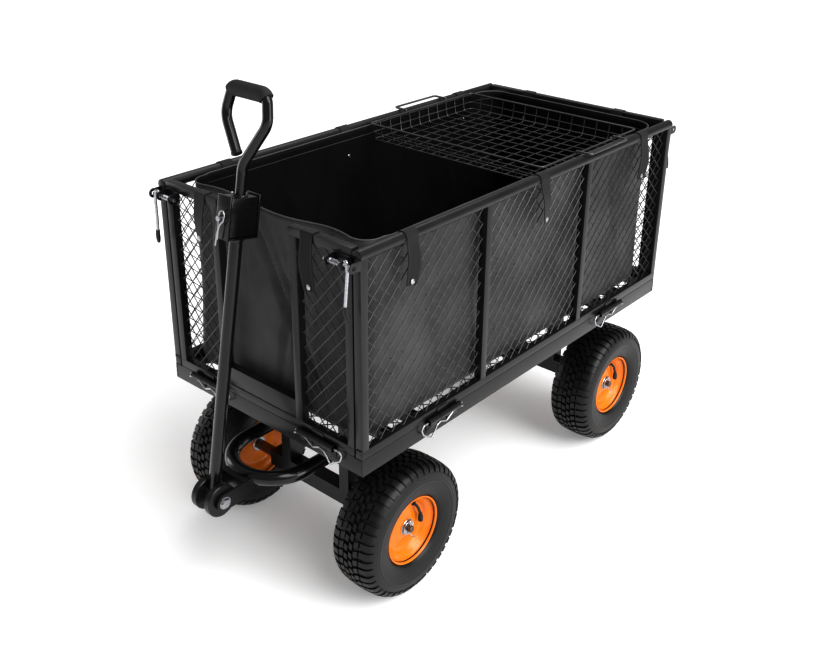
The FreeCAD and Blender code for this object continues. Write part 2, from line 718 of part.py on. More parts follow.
def build_tow_bar():
    zero = as_size(0)
    hub = rod("x", (as_size(-20), zero, zero), 40, 20)
    discs = [rod("x", (start, zero, zero), s.foot_width, s.foot_radius)
             for start in (s.bar_tube + 0.1, -s.bar_tube - 0.1 - s.foot_width)]
    spigot = rod("z", (zero, zero, zero), 75, s.bar_tube - s.bar_wall - s.running_gap)
    bore = rod("x", (as_size(-60), zero, zero), 120, s.pivot_bolt + s.running_gap)
    on_bar("tow_bar_foot", carve(join([hub, *discs, spigot]), bore))
    start = 21
    outer = rod("z", (zero, zero, as_size(start)), s.bar_length - start, s.bar_tube)
    inner = rod("z", (zero, zero, as_size(start - 1)), s.bar_length - start + 2, s.bar_tube - s.bar_wall)
    on_bar("tow_bar_tube", carve(outer, inner))
    half, depth = s.yoke_width / 2, s.yoke_gap / 2
    socket_half = s.yoke_width / 2 - 1.5
    base, top = s.bar_length, s.bar_length + s.yoke_wall + s.yoke_height
    web = box((-half, -depth - s.yoke_wall, base), (half, depth + s.yoke_wall, base + s.yoke_wall))
    arms = [box((-half, edge, base), (half, edge + s.yoke_wall, top))
            for edge in (depth, -depth - s.yoke_wall)]
    pin_height = base + s.yoke_wall + 40
    pin_bore = rod("y", (zero, as_size(-60), pin_height), 120, s.pin_radius + s.running_gap)
    on_bar("tow_yoke", carve(join([web, *arms]), pin_bore))
    socket_base, socket_top = base + s.yoke_wall + 1, top - 3
    socket = box((-socket_half, -depth + 1, socket_base), (socket_half, depth - 1, socket_top))
    hollow = box((3 - socket_half, -depth + 4, socket_base - 1), (socket_half - 3, depth - 4, socket_top - 4))
    bore = rod("y", (zero, as_size(-60), pin_height), 120, s.pin_radius + s.running_gap)
    rise = (s.grip_rise + 3).value
    side = s.handle_half.value
    top = side - 7
    path = [(0, 0), (0, 64), (side, 154), (top, rise), (-top, rise), (-side, 154), (-27, 93)]
    loop = bent_bar("XZ_Plane", "XY_Plane", path, [45, 40, 22, 22, 40], s.handle_tube)
    place(loop, (zero, zero, socket_top - 1))
    on_bar("tow_handle", join([carve(carve(socket, hollow), bore), loop]))
    grip_half = 33
    grip_height = socket_top - 1 + rise
    grip = rod("x", (as_size(-grip_half), zero, grip_height), 2 * grip_half, s.grip_radius)
    core = rod("x", (as_size(-grip_half - 1), zero, grip_height), 2 * grip_half + 2,
               s.handle_tube + s.running_gap)
    on_bar("handle_grip", carve(grip, core))
    reach = s.yoke_gap / 2 + s.yoke_wall
    shank = rod("y", (zero, -reach - 14, pin_height), reach * 2 + 14, s.pin_radius)
    head = rod("y", (zero, reach, pin_height), 6, 11)
    clip_hole = rod("z", (zero, -reach - 8, pin_height - 10), 20, 2.2)
    on_bar("hitch_pin", carve(join([shank, head]), clip_hole))
    clip_path = [(0, 0), (0, -30), (5, -38), (12, -30), (14, -8), (9, 0), (14, 6), (14, 14)]
    clip = bent_bar("XZ_Plane", "XY_Plane", clip_path, [2.5, 2.5, 5, 8, 3, 3], 1.8)
    place(clip, (zero, -reach - 8, pin_height + 14))
    on_bar("hitch_clip", group([clip]))
    return socket_top - 1


def build_end_cap(loop_base):
    """Cap on the free end of the handle loop."""
    end = FreeCAD.Vector(-27, 0, 93)
    corner = FreeCAD.Vector(-s.handle_half.value, 0, 154)
    direction = (end - corner).normalize()
    cap = doc.addObject("Part::Cylinder", "Cap")
    bind(cap, "Radius", s.handle_tube + 1.5)
    bind(cap, "Height", 9)
    cap.Placement = FreeCAD.Placement(end + FreeCAD.Vector(0, 0, loop_base.value),
                                      FreeCAD.Rotation(AXES["z"], direction))
    on_bar("handle_end_cap", cap)


# ---------------------------------------------------------------- panels, liner and tray

def bays(posts):
    """The clear spans between neighbouring posts."""
    half = s.post_width.value / 2
    middles = [as_size(post).value for post in posts]
    return [(start + half, end - half) for start, end in zip(middles[:-1], middles[1:])]


def build_panels():
    side_half, end_half = s.bed_length / 2, s.bed_width / 2 - s.post_width - s.end_gap
    side_posts = [-side_half + s.post_width / 2, -s.bay_post, s.bay_post, side_half - s.post_width / 2]
    inner_post = s.notch_half + s.post_width / 2
    end_posts = [-end_half + s.post_width / 2, -inner_post, inner_post, end_half - s.post_width / 2]
    for wall in ("left", "right"):
        node(f"{wall}_panel_frame", panel_frame(wall, side_half, side_posts, round_rail=True))
        node(f"{wall}_panel_mesh", mesh_panel(wall, bays(side_posts)))
        node(f"{wall}_keepers", carve(join(keeper_tabs(wall)), join(keeper_bores(wall))))
    node("front_panel_frame", panel_frame("front", end_half, end_posts, notch=True))
    node("rear_panel_frame", panel_frame("rear", end_half, end_posts))
    front_bays = bays(end_posts)
    node("front_panel_mesh", mesh_panel("front", [front_bays[0], front_bays[2]]))
    node("rear_panel_mesh", mesh_panel("rear", bays(end_posts)))
    node("left_straps", straps("left", (-465, 0, 455)))
    node("right_straps", straps("right", (-430, -37, 450)))
    node("front_straps", straps("front", (-165, 165)))
    node("rear_straps", straps("rear", (-150, 150)))
    for wall in ("front", "rear"):
        for name, side in (("left", 1), ("right", -1)):
            node(f"latch_{wall}_{name}", latch(wall, side))


def build_liner():
    """Open-topped fabric tub with a dip where the front panel is notched."""
    half_x = s.bed_width / 2 - s.post_width - s.liner_gap
    half_y = s.bed_length / 2 - s.post_width - s.liner_gap
    low, top = s.skirt_top + 1, s.liner_top
    outer = box((-half_x, s.bed_shift - half_y, low), (half_x, s.bed_shift + half_y, top))
    wall = s.liner_wall
    inner = box((wall - half_x, s.bed_shift - half_y + wall, low + wall),
                (half_x - wall, s.bed_shift + half_y - wall, top + 1))
    dip = box((-s.notch_half + 4, s.bed_shift - half_y - 1, s.liner_dip),
              (s.notch_half - 4, s.bed_shift - half_y + wall + 1, top + 1))
    node("liner", carve(outer, join([inner, dip])))


TRAY_PITCH = 40


def build_tray():
    half, wire = s.tray_half.value, s.tray_wire.value
    shift = s.bed_shift.value
    front, rear = s.tray_front.value + shift, s.tray_rear.value + shift
    top, low = s.rail_top.value, (s.rail_top - s.tray_depth).value
    width, length, depth = 2 * half, rear - front, top - low
    floor = holed_sheet(width, length, wire, squares(width, length, TRAY_PITCH, wire))
    node("tray_floor", sheet_feature(floor, FreeCAD.Vector(-half, front, low), FreeCAD.Rotation()))
    height = depth - wire
    side_wall = holed_sheet(length, height, wire, squares(length, height, TRAY_PITCH, wire))
    end_wall = holed_sheet(width, height, wire, squares(width, height, TRAY_PITCH, wire))
    upright_y = FreeCAD.Rotation(AXES["y"], AXES["z"], AXES["x"], "XYZ")
    upright_x = FreeCAD.Rotation(AXES["x"], AXES["z"], -AXES["y"], "XYZ")
    base = low + wire
    pieces = [sheet_feature(side_wall, FreeCAD.Vector(-half, front, base), upright_y),
              sheet_feature(side_wall, FreeCAD.Vector(half - wire, front, base), upright_y),
              sheet_feature(end_wall, FreeCAD.Vector(-half, front + wire, base), upright_x),
              sheet_feature(end_wall, FreeCAD.Vector(-half, rear, base), upright_x)]
    arm_height = s.rail_top + 1.2 + s.tray_wire
    reach = s.bed_width / 2 + 6
    for side in (1, -1):
        for spot in (188, 360):
            y = s.bed_shift + spot
            inner = s.tray_half - s.tray_wire / 2
            start = inner if side > 0 else -reach
            pieces.append(rod("x", (start, y, arm_height), reach - inner, s.tray_wire))
            pieces.append(rod("z", (inner * side, y, s.rail_top - 12), as_size(13.2) + s.tray_wire * 2,
                              s.tray_wire))
        pieces.append(rod("y", (reach * side, s.bed_shift + 188 - s.tray_wire, arm_height),
                          as_size(172) + s.tray_wire * 2, s.tray_wire))
    node("tray_walls", join(pieces))


# ---------------------------------------------------------------- build and write

def main():
    bar_low = build_bed()
    plate_low = build_kingpin(bar_low)
    build_axles(bar_low, plate_low)
    for name, side, middle in (("front_left", 1, front_axle_y), ("front_right", -1, front_axle_y),
                               ("rear_left", 1, rear_axle_y), ("rear_right", -1, rear_axle_y)):
        build_wheel(name, side, middle)
    build_tow_hoop()
    build_end_cap(build_tow_bar())
    build_panels()
    build_liner()
    build_tray()
    doc.recompute()
    for piece in doc.Objects:
        if "Invalid" in piece.State or "Error" in piece.State:
            raise RuntimeError(f"{piece.Name} ({piece.Label}) failed: {piece.State}")
    for piece in nodes:
        if piece.Shape.isNull() or not piece.Shape.isValid() or not piece.Shape.Solids:
            raise RuntimeError(f"{piece.Label} has no valid solid")
    os.makedirs("parts", exist_ok=True)
    for piece in nodes:
        piece.Shape.exportStep(f"parts/{piece.Label}.step")
        bounds = piece.Shape.BoundBox
        print(f"{piece.Label}: {len(piece.Shape.Solids)} solids, {piece.Shape.Volume:.0f} mm3, "
              f"x {bounds.XMin:.1f}..{bounds.XMax:.1f} y {bounds.YMin:.1f}..{bounds.YMax:.1f} "
              f"z {bounds.ZMin:.1f}..{bounds.ZMax:.1f}")
    print(len(nodes), "nodes")


main()
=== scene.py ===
from math import copysign, cos, exp, pi, radians, sin, tan

import bmesh
import bpy
from mathutils import Matrix, Vector


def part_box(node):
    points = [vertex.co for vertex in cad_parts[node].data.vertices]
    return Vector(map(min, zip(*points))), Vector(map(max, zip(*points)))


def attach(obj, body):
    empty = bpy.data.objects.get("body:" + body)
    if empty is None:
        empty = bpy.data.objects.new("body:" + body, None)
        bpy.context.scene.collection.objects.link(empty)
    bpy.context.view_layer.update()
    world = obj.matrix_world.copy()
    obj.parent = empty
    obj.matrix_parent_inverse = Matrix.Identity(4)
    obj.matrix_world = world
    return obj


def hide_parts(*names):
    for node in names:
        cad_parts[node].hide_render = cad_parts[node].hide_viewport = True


# The looks of a steel garden cart, in metres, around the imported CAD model. The tow bar is at -Y.

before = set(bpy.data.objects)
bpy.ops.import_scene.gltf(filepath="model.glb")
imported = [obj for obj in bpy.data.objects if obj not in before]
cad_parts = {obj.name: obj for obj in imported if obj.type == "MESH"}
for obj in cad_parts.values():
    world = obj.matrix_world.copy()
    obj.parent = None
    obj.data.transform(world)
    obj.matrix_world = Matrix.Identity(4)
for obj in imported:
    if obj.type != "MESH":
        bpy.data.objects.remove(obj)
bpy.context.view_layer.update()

MM = 0.001
CHASSIS = "chassis"
SIDES = ("left", "right")

bed_low, bed_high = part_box("chassis_frame")
BED_X = bed_high.x
BED_Y = (bed_high.y - bed_low.y) / 2
MID_Y = (bed_high.y + bed_low.y) / 2
SKIRT_TOP = bed_high.z
SKIRT_LOW = bed_low.z
ANGLE_LEG = 26 * MM
ANGLE_THICK = 3 * MM
RAIL_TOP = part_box("rear_panel_frame")[1].z
RAIL_RADIUS = 12.5 * MM
TUBE_UP = RAIL_TOP - RAIL_RADIUS
POST = 20 * MM
NOTCH = 112 * MM
KICK = 66 * MM
END_GAP = 3.5 * MM
PANEL_BASE = SKIRT_TOP + 0.5 * MM
LOW_RAIL_TOP = PANEL_BASE + POST
BAR_EDGE = 1.6 * MM
SHEET_EDGE = 0.8 * MM
HINGE_OUT = 8 * MM
HINGE_SPOTS = {"left": 355 * MM, "right": 355 * MM, "front": 180 * MM, "rear": 180 * MM}
LATCH_UP = RAIL_TOP - 29 * MM
LATCH_OUT = BED_Y + 18 * MM
BOLT = sum(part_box("tow_pivot_bolt"), Vector()) / 2
LEAN = radians(10.7)


def mm(*sizes):
    """A list of millimetres as metres."""
    return [size * MM for size in sizes]


def link(name, data):
    """A new object in the scene."""
    made = bpy.data.objects.new(name, data)
    bpy.context.scene.collection.objects.link(made)
    return made


# ---- materials

class Surface:
    """A material being made: its nodes, and the shader that they feed."""

    def __init__(self, name):
        self.material = bpy.data.materials.new(name)
        self.material.use_nodes = True
        self.nodes = self.material.node_tree.nodes
        self.links = self.material.node_tree.links
        self.shader = next(n for n in self.nodes if n.type == "BSDF_PRINCIPLED")
        self.last_bump = None

    def node(self, kind, **values):
        """A node with its values set; an underscore in a name stands for a space."""
        made = self.nodes.new("ShaderNode" + kind)
        for name, value in values.items():
            made.inputs[name.replace("_", " ")].default_value = value
        return made

    def set(self, **values):
        """Values that are the same all over the surface."""
        for name, value in values.items():
            self.shader.inputs[name.replace("_", " ")].default_value = value

    def place(self, stretch=None):
        """Places on the object, stretched if a scale is given."""
        source = self.node("TexCoord").outputs["Object"]
        if stretch:
            mapping = self.node("Mapping", Scale=stretch)
            self.links.new(source, mapping.inputs["Vector"])
            source = mapping.outputs["Vector"]
        return source

    def noise(self, scale, detail, stretch=None):
        texture = self.node("TexNoise", Scale=scale, Detail=detail)
        self.links.new(self.place(stretch), texture.inputs["Vector"])
        return texture.outputs["Fac"]

    def colour(self, source, start, dark, end, light):
        """Base colour that runs from dark to light over a stretch of the source."""
        made = self.node("ValToRGB")
        for element, position, shade in zip(made.color_ramp.elements, (start, end), (dark, light)):
            element.position = position
            element.color = (*shade, 1)
        self.links.new(source, made.inputs["Fac"])
        self.links.new(made.outputs["Color"], self.shader.inputs["Base Color"])

    def roughness(self, source, low, high):
        made = self.node("MapRange", To_Min=low, To_Max=high)
        self.links.new(source, made.inputs["Value"])
        self.links.new(made.outputs["Result"], self.shader.inputs["Roughness"])

    def bump(self, source, strength, distance):
        """A bump on top of the bumps made before it."""
        made = self.node("Bump", Strength=strength, Distance=distance)
        self.links.new(source, made.inputs["Height"])
        if self.last_bump:
            self.links.new(self.last_bump.outputs["Normal"], made.inputs["Normal"])
        self.links.new(made.outputs["Normal"], self.shader.inputs["Normal"])
        self.last_bump = made


def grey(value):
    return (value, value, value * 1.04)


def paint(name, dark, light, rough, gloss, coat=0.0, peel=0.12):
    """Baked powder coat: slightly uneven tone, orange-peel skin, patchy gloss."""
    made = Surface(name)
    tone = made.noise(9, 5)
    made.colour(tone, 0.3, dark, 0.72, light)
    made.roughness(tone, rough - 0.07, rough + 0.09)
    made.bump(made.noise(900, 2), peel, 0.0006)
    made.set(Specular_IOR_Level=gloss, Coat_Weight=coat, Coat_Roughness=0.12)
    return made.material


def metal(name, colour, rough):
    """Plated steel with fine draw marks."""
    made = Surface(name)
    marks = made.noise(60, 4, (1, 1, 14))
    made.colour(marks, 0.25, tuple(c * 0.62 for c in colour), 0.7, colour)
    made.roughness(marks, rough, rough + 0.2)
    made.set(Metallic=1.0)
    return made.material


def rubber(name, dark, light, rough):
    """Tyre rubber: dusty patches and fine moulding grain."""
    made = Surface(name)
    dust = made.noise(14, 6)
    made.colour(dust, 0.35, dark, 0.8, light)
    made.roughness(dust, rough - 0.08, rough + 0.14)
    made.bump(made.noise(650, 3), 0.25, 0.0008)
    made.set(Specular_IOR_Level=0.38)
    return made.material


def cloth(name, dark, light, rough, crease, thread=0.0011, sheen=0.15, gloss=0.4):
    """Woven coated cloth: crossed threads, soft creases and a faint bloom."""
    made = Surface(name)
    shade = made.noise(7, 6)
    made.colour(shade, 0.3, dark, 0.75, light)
    made.roughness(shade, rough - 0.06, rough + 0.1)
    place = made.place()
    weave = None
    for direction in ("X", "Y", "Z"):
        wave = made.node("TexWave", Scale=1 / (thread * 20), Distortion=0.4)
        wave.bands_direction = direction
        made.links.new(place, wave.inputs["Vector"])
        if weave is None:
            weave = wave.outputs["Fac"]
            continue
        both = made.node("Math")
        both.operation = "MULTIPLY"
        made.links.new(weave, both.inputs[0])
        made.links.new(wave.outputs["Fac"], both.inputs[1])
        weave = both.outputs["Value"]
    made.bump(weave, 0.35, 0.0004)
    made.bump(made.noise(22, 4, (1, 1, 0.45)), crease, 0.004)
    made.set(Specular_IOR_Level=gloss, Sheen_Weight=sheen, Sheen_Roughness=0.5)
    return made.material


def foam(name):
    """Closed-cell foam with tiny pores."""
    made = Surface(name)
    voronoi = made.node("TexVoronoi", Scale=700)
    made.links.new(made.place(), voronoi.inputs["Vector"])
    cells = voronoi.outputs["Distance"]
    made.colour(cells, 0.1, grey(0.004), 0.6, grey(0.016))
    made.roughness(cells, 0.62, 0.85)
    made.bump(cells, 0.5, 0.0006)
    return made.material


FRAME_PAINT = paint("frame_powder_coat", grey(0.005), grey(0.012), 0.29, gloss=0.4)
WIRE_PAINT = paint("wire_coating", grey(0.014), grey(0.03), 0.28, gloss=0.6)
# The tray's wire coating is a lighter grey than the panel mesh. The extra lightness is a painted highlight
# along the wires.
TRAY_PAINT_AND_HIGHLIGHT = paint("tray_wire_coating_and_painted_highlight", grey(0.028), grey(0.055), 0.22, gloss=0.8)
GLOSS_PAINT = paint("tow_gloss_coat", grey(0.003), grey(0.006), 0.16, coat=0.25, peel=0.04, gloss=0.34)
ORANGE = paint("rim_orange", (0.64, 0.155, 0.004), (0.76, 0.205, 0.008), 0.3,
               coat=0.2, peel=0.05, gloss=0.3)
ZINC = metal("zinc_plate", (0.54, 0.54, 0.57), 0.2)
DULL_STEEL = metal("dull_steel", (0.20, 0.15, 0.12), 0.45)
TYRE = rubber("tyre_rubber", grey(0.003), (0.010, 0.0095, 0.009), 0.38)
SOFT_RUBBER = rubber("soft_rubber", grey(0.008), grey(0.018), 0.5)
FOAM = foam("grip_foam")
VINYL = rubber("black_vinyl", grey(0.006), grey(0.012), 0.32)
LINER_OUT = cloth("liner_outside", grey(0.014), grey(0.074), 0.52, sheen=0.08, crease=1.0, gloss=0.36)
# The hem is lighter than the liner it is turned from. This is a painted highlight: a light line along the
# liner's top edge.
HEM_PAINTED_HIGHLIGHT = cloth("hem_painted_highlight", grey(0.035), grey(0.10), 0.5, thread=0.0016, crease=0.2, sheen=0.1)
LINER_IN = cloth("liner_inside", grey(0.002), grey(0.005), 0.75, crease=0.3, sheen=0.0, gloss=0.12)
WEBBING = cloth("strap_webbing", grey(0.005), grey(0.014), 0.7,
                thread=0.0022, crease=0.3, sheen=0.1, gloss=0.3)
THREAD = cloth("stitching_thread", grey(0.03), grey(0.06), 0.6, thread=0.0006, crease=0.1)


# ---- geometry

def ring_faces(count, size, closed=False):
    """Faces between each ring of points and the next; closed joins the last ring to the first."""
    faces = []
    for i in range(count if closed else count - 1):
        here, there = i * size, (i + 1) % count * size
        for k in range(size):
            n = (k + 1) % size
            faces.append((here + k, here + n, there + n, there + k))
    return faces


class Shape:
    """Collects closed pieces of mesh, each with a material number, into one object."""

    def __init__(self):
        self.bm = bmesh.new()

    def add(self, points, faces, kind=0):
        corners = [self.bm.verts.new(p) for p in points]
        for face in faces:
            made = self.bm.faces.new([corners[i] for i in face])
            made.material_index = kind

    def loft(self, points, size, kind=0, closed=False):
        """A skin over rings of points, capped at both ends unless it is closed."""
        count = len(points) // size
        faces = ring_faces(count, size, closed)
        if not closed:
            faces += [tuple(range(size))[::-1], tuple(range((count - 1) * size, count * size))]
        self.add(points, faces, kind)

    def prism(self, points):
        """A solid between two matching outlines: the first half of the points, and the second."""
        size = len(points) // 2
        faces = [tuple(range(size)), tuple(range(size, 2 * size))[::-1]]
        faces += [(i, i + size, (i + 1) % size + size, (i + 1) % size) for i in range(size)]
        self.add(points, faces)

    def block(self, low, high, edge):
        """A box with rounded edges."""
        low, high = Vector(low), Vector(high)
        size = high - low
        spot = Matrix.Translation((low + high) / 2) @ Matrix.Diagonal((*size, 1))
        corners = bmesh.ops.create_cube(self.bm, size=1, matrix=spot)["verts"]
        edges = list(dict.fromkeys(e for v in corners for e in v.link_edges))
        bmesh.ops.bevel(self.bm, geom=edges, offset=min(edge, min(size) * 0.3), segments=2, profile=0.6,
                        affect="EDGES", clamp_overlap=True, material=-1)

    def tube(self, path, radius, sides, kind=0, closed=False):
        """A round bar along a path; radius may be one number or one for each point."""
        path = [Vector(p) for p in path]
        radii = radius if isinstance(radius, list) else [radius] * len(path)
        count = len(path)
        points = []
        side = None
        for i, spot in enumerate(path):
            before = path[i - 1] if i or closed else path[0]
            after = path[(i + 1) % count] if i < count - 1 or closed else path[-1]
            along = (after - before).normalized()
            if side is None:
                side = along.orthogonal().normalized()
            side = (side - along * side.dot(along)).normalized()
            other = along.cross(side)
            for k in range(sides):
                turn = 2 * pi * k / sides
                points.append(spot + (side * cos(turn) + other * sin(turn)) * radii[i])
        self.loft(points, sides, kind, closed)

    def lathe(self, outline, centre, steps):
        """A closed outline of (along X, radius) points turned about a line along X."""
        points = [Vector(centre) + Vector((x, r * cos(a), r * sin(a)))
                  for a in (2 * pi * k / steps for k in range(steps)) for x, r in outline]
        self.loft(points, len(outline), closed=True)

    def band(self, path, sides, widths, thick):
        """A flat strap along a path; sides are its width directions, one for each point."""
        points = []
        for i, (spot, side, width) in enumerate(zip(path, sides, widths)):
            along = (path[min(i + 1, len(path) - 1)] - path[max(i - 1, 0)]).normalized()
            up = along.cross(side).normalized()
            for a, b in ((-1, -1), (1, -1), (1, 1), (-1, 1)):
                points.append(spot + side * (a * width / 2) + up * (b * thick / 2))
        self.loft(points, 4)

    def stud(self, spot, facing, radius, kind=0):
        """A domed press stud with a rolled rim."""
        turn = Vector((1, 0, 0)).rotation_difference(facing).to_matrix()
        sides = 20
        points = []
        for x, r in ((-1.2, 1.0), (0.3, 1.0), (0.75, 0.86), (0.55, 0.72), (1.3, 0.5)):
            for k in range(sides):
                a = 2 * pi * k / sides
                flat = Vector((x * MM, r * radius * cos(a), r * radius * sin(a)))
                points.append(Vector(spot) + turn @ flat)
        self.loft(points, sides, kind)

    def make(self, name, materials, body, replaced, slot, angle=38):
        """The finished piece: its body and the CAD nodes it stands for; the slot argument is not used."""
        bmesh.ops.recalc_face_normals(self.bm, faces=self.bm.faces)
        data = bpy.data.meshes.new(name)
        self.bm.to_mesh(data)
        self.bm.free()
        for face in data.polygons:
            face.use_smooth = True
        data.set_sharp_from_angle(angle=radians(angle))
        piece = link(name, data)
        for material in materials:
            data.materials.append(material)
        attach(piece, body)
        if replaced:
            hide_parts(*replaced)


def rounded(points, radius, steps):
    """A path through the points with each corner turned into an arc."""
    points = [Vector(p) for p in points]
    radii = radius if isinstance(radius, list) else [radius] * (len(points) - 2)
    path = [points[0]]
    for before, corner, after, bend in zip(points[:-2], points[1:-1], points[2:], radii):
        arriving, leaving = (corner - before).normalized(), (after - corner).normalized()
        turn = arriving.angle(leaving)
        if turn < 0.02:
            path.append(corner)
            continue
        room = min((corner - before).length, (after - corner).length) * 0.49
        back = min(bend * tan(turn / 2), room)
        fitted = back / tan(turn / 2)
        start, end = corner - arriving * back, corner + leaving * back
        centre = corner + (leaving - arriving).normalized() * (fitted / cos(turn / 2))
        first, last = (start - centre).normalized(), (end - centre).normalized()
        for k in range(steps + 1):
            path.append(centre + first.slerp(last, k / steps) * fitted)
    path.append(points[-1])
    return path


def outline_mm(points, side=1):
    """An outline in millimetres as metres, mirrored if side is -1."""
    return [(x * side * MM, r * MM) for x, r in points]


def wall_point(wall, along, out, up):
    """A point given along a wall, outward from the bed's middle, and up."""
    if wall == "left":
        return Vector((out, MID_Y + along, up))
    if wall == "right":
        return Vector((-out, MID_Y + along, up))
    if wall == "front":
        return Vector((along, MID_Y - out, up))
    return Vector((along, MID_Y + out, up))


def wall_block(shape, wall, along, out, up, edge):
    a = wall_point(wall, along[0], out[0], up[0])
    b = wall_point(wall, along[1], out[1], up[1])
    shape.block(Vector(map(min, a, b)), Vector(map(max, a, b)), edge)


def wall_rod(shape, wall, spots, out, up, radius, sides, kind=0):
    """A round bar that runs along a wall through the spots."""
    shape.tube([wall_point(wall, along, out, up) for along in spots], radius, sides, kind)


def outer(wall):
    return BED_X if wall in SIDES else BED_Y


def outward(wall):
    return wall_point(wall, 0, 1, 0) - wall_point(wall, 0, 0, 0)


def sideways(wall):
    return wall_point(wall, 1, 0, 0) - wall_point(wall, 0, 0, 0)


# ---- wire mesh

MESH_PITCH = 35.4 * MM
MESH_WIRE = 1.15 * MM
MESH_INSET = 5 * MM
DECK_PITCH = 50 * MM
DECK_WIRE = 1.4 * MM


def clip_line(point, direction, low, high):
    """The stretch of a line inside a rectangle, or None."""
    start, end = -10.0, 10.0
    for axis in range(2):
        a = (low[axis] - point[axis]) / direction[axis]
        b = (high[axis] - point[axis]) / direction[axis]
        start, end = max(start, min(a, b)), min(end, max(a, b))
    return (start, end) if end - start > 4 * MM else None


def diamond_mesh(shape, to_world, low, high, radius, pitch):
    """Square mesh turned by 45 degrees: its wires cross over and under, and meet at the edges."""
    width, height = high[0] - low[0], high[1] - low[1]
    across, up = round(width / pitch), round(height / pitch)
    step = Vector((width / across, height / up))
    reach = step.length / 2
    for layer in (1, -1):
        direction = Vector((step.x, layer * step.y)).normalized()
        base = low[1] if layer > 0 else high[1]
        for k in range(-up, across):
            point = (low[0] + k * step.x, base)
            span = clip_line(point, direction, low, high)
            if span is None:
                continue
            pieces = max(2, round((span[1] - span[0]) / reach) * 2)
            path = []
            for n in range(pieces + 1):
                t = span[0] + (span[1] - span[0]) * n / pieces
                wave = cos(pi * t / reach) * 0.3
                path.append(to_world(point[0] + direction.x * t, point[1] + direction.y * t,
                                     layer * radius * (0.72 + wave)))
            shape.tube(path, radius, 6)


def panel_posts(wall):
    if wall in SIDES:
        return [-BED_Y + POST / 2, -203 * MM, 203 * MM, BED_Y - POST / 2]
    end = BED_X - POST * 1.5 - END_GAP
    return [-end, -NOTCH - POST / 2, NOTCH + POST / 2, end]


def build_panel_mesh(wall):
    """Diamond mesh in each bay between posts; the front panel's middle bay is the open notch."""
    shape = Shape()
    posts = panel_posts(wall)
    bays = [(a + POST / 2, b - POST / 2) for a, b in zip(posts[:-1], posts[1:])]
    if wall == "front":
        bays = [bays[0], bays[2]]
    out = outer(wall) - POST / 2
    low = LOW_RAIL_TOP
    high = RAIL_TOP - (2 * RAIL_RADIUS if wall in SIDES else POST)
    stubs = 13

    def to_world(along, up, off):
        return wall_point(wall, along, out + off, up)
    for start, end in bays:
        diamond_mesh(shape, to_world, (start + MESH_INSET, low - 1 * MM), (end - MESH_INSET, high + 1 * MM),
                     MESH_WIRE, MESH_PITCH)
        for edge, inner in ((start, 1), (end, -1)):
            for k in range(stubs):
                up = low + (high - low) * k / (stubs - 1)
                wall_rod(shape, wall, (edge - inner * MM, edge + inner * 6 * MM), out, up, MESH_WIRE, 6)
    shape.make(f"{wall}_wire_mesh", [WIRE_PAINT], f"{wall}_panel", [f"{wall}_panel_mesh"], "wire_black")


def build_deck_mesh():
    shape = Shape()
    low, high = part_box("deck_mesh")
    middle = (low.z + high.z) / 2

    def to_world(x, y, off):
        return Vector((x, y, middle + off * 0.8))
    diamond_mesh(shape, to_world, (low.x, low.y), (high.x, high.y), DECK_WIRE, DECK_PITCH)
    shape.make("deck_wire_mesh", [WIRE_PAINT], CHASSIS, ["deck_mesh"], "wire_black")


# ---- panels

KNUCKLE_RADIUS = 7 * MM
KNUCKLE_RIM = 1.2 * MM
KNUCKLE_HALF = 17.5 * MM
LEAF_THICK = 2.5 * MM
EYE_BORE = 4.6 * MM
EYE_RADIUS = 11 * MM


def knuckle(shape, wall, start, end):
    """A rolled hinge barrel with a raised rim at each end."""
    out = outer(wall) + HINGE_OUT
    wall_rod(shape, wall, (start, end), out, SKIRT_TOP, KNUCKLE_RADIUS, 20)
    for rim in (start, end - KNUCKLE_RIM):
        wall_rod(shape, wall, (rim, rim + KNUCKLE_RIM), out, SKIRT_TOP, KNUCKLE_RADIUS + 0.25 * MM, 20)


def latch_eye(shape, wall, along, root):
    """A drilled tab round the bolt's line, standing off the panel's face at root."""
    sign = -1 if wall == "front" else 1
    line = MID_Y + sign * LATCH_OUT
    start, end = sorted(along)
    ring = [(start, EYE_BORE), (start, 10.4 * MM), (start + 0.5 * MM, EYE_RADIUS),
            (end - 0.5 * MM, EYE_RADIUS), (end, 10.4 * MM), (end, EYE_BORE)]
    shape.lathe(ring, (0, line, LATCH_UP), 28)
    reach = sorted((MID_Y + sign * root, line - sign * 4.4 * MM))
    shape.block((start + 0.1 * MM, reach[0], LATCH_UP - 10.6 * MM),
                (end - 0.1 * MM, reach[1], LATCH_UP + 10.6 * MM), SHEET_EDGE)


def latch_bracket(shape, wall, side):
    """Back plate and two drilled ears that carry the latch rod."""
    face = outer(wall)
    along = sorted((236 * MM * side, 287 * MM * side))
    wall_block(shape, wall, along, (face, face + 2 * MM), (LATCH_UP - 13 * MM, LATCH_UP + 13 * MM),
               SHEET_EDGE)
    for start in (240, 280):
        latch_eye(shape, wall, (start * MM * side, (start + 3) * MM * side), face + 0.6 * MM)


def weld_beads(shape, wall, spot, face):
    """Small fillet welds where a post meets the bottom rail."""
    for side in (-1, 1):
        path = []
        for k in range(7):
            along = spot + side * (POST / 2 + 0.4 * MM) + 0.5 * MM * sin(k * 2.4)
            path.append(wall_point(wall, along, face - 1.5 * MM - k * 2.8 * MM, LOW_RAIL_TOP + 0.4 * MM))
        shape.tube(path, [1.5 * MM + 0.4 * MM * sin(k * 1.9) for k in range(7)], 8)


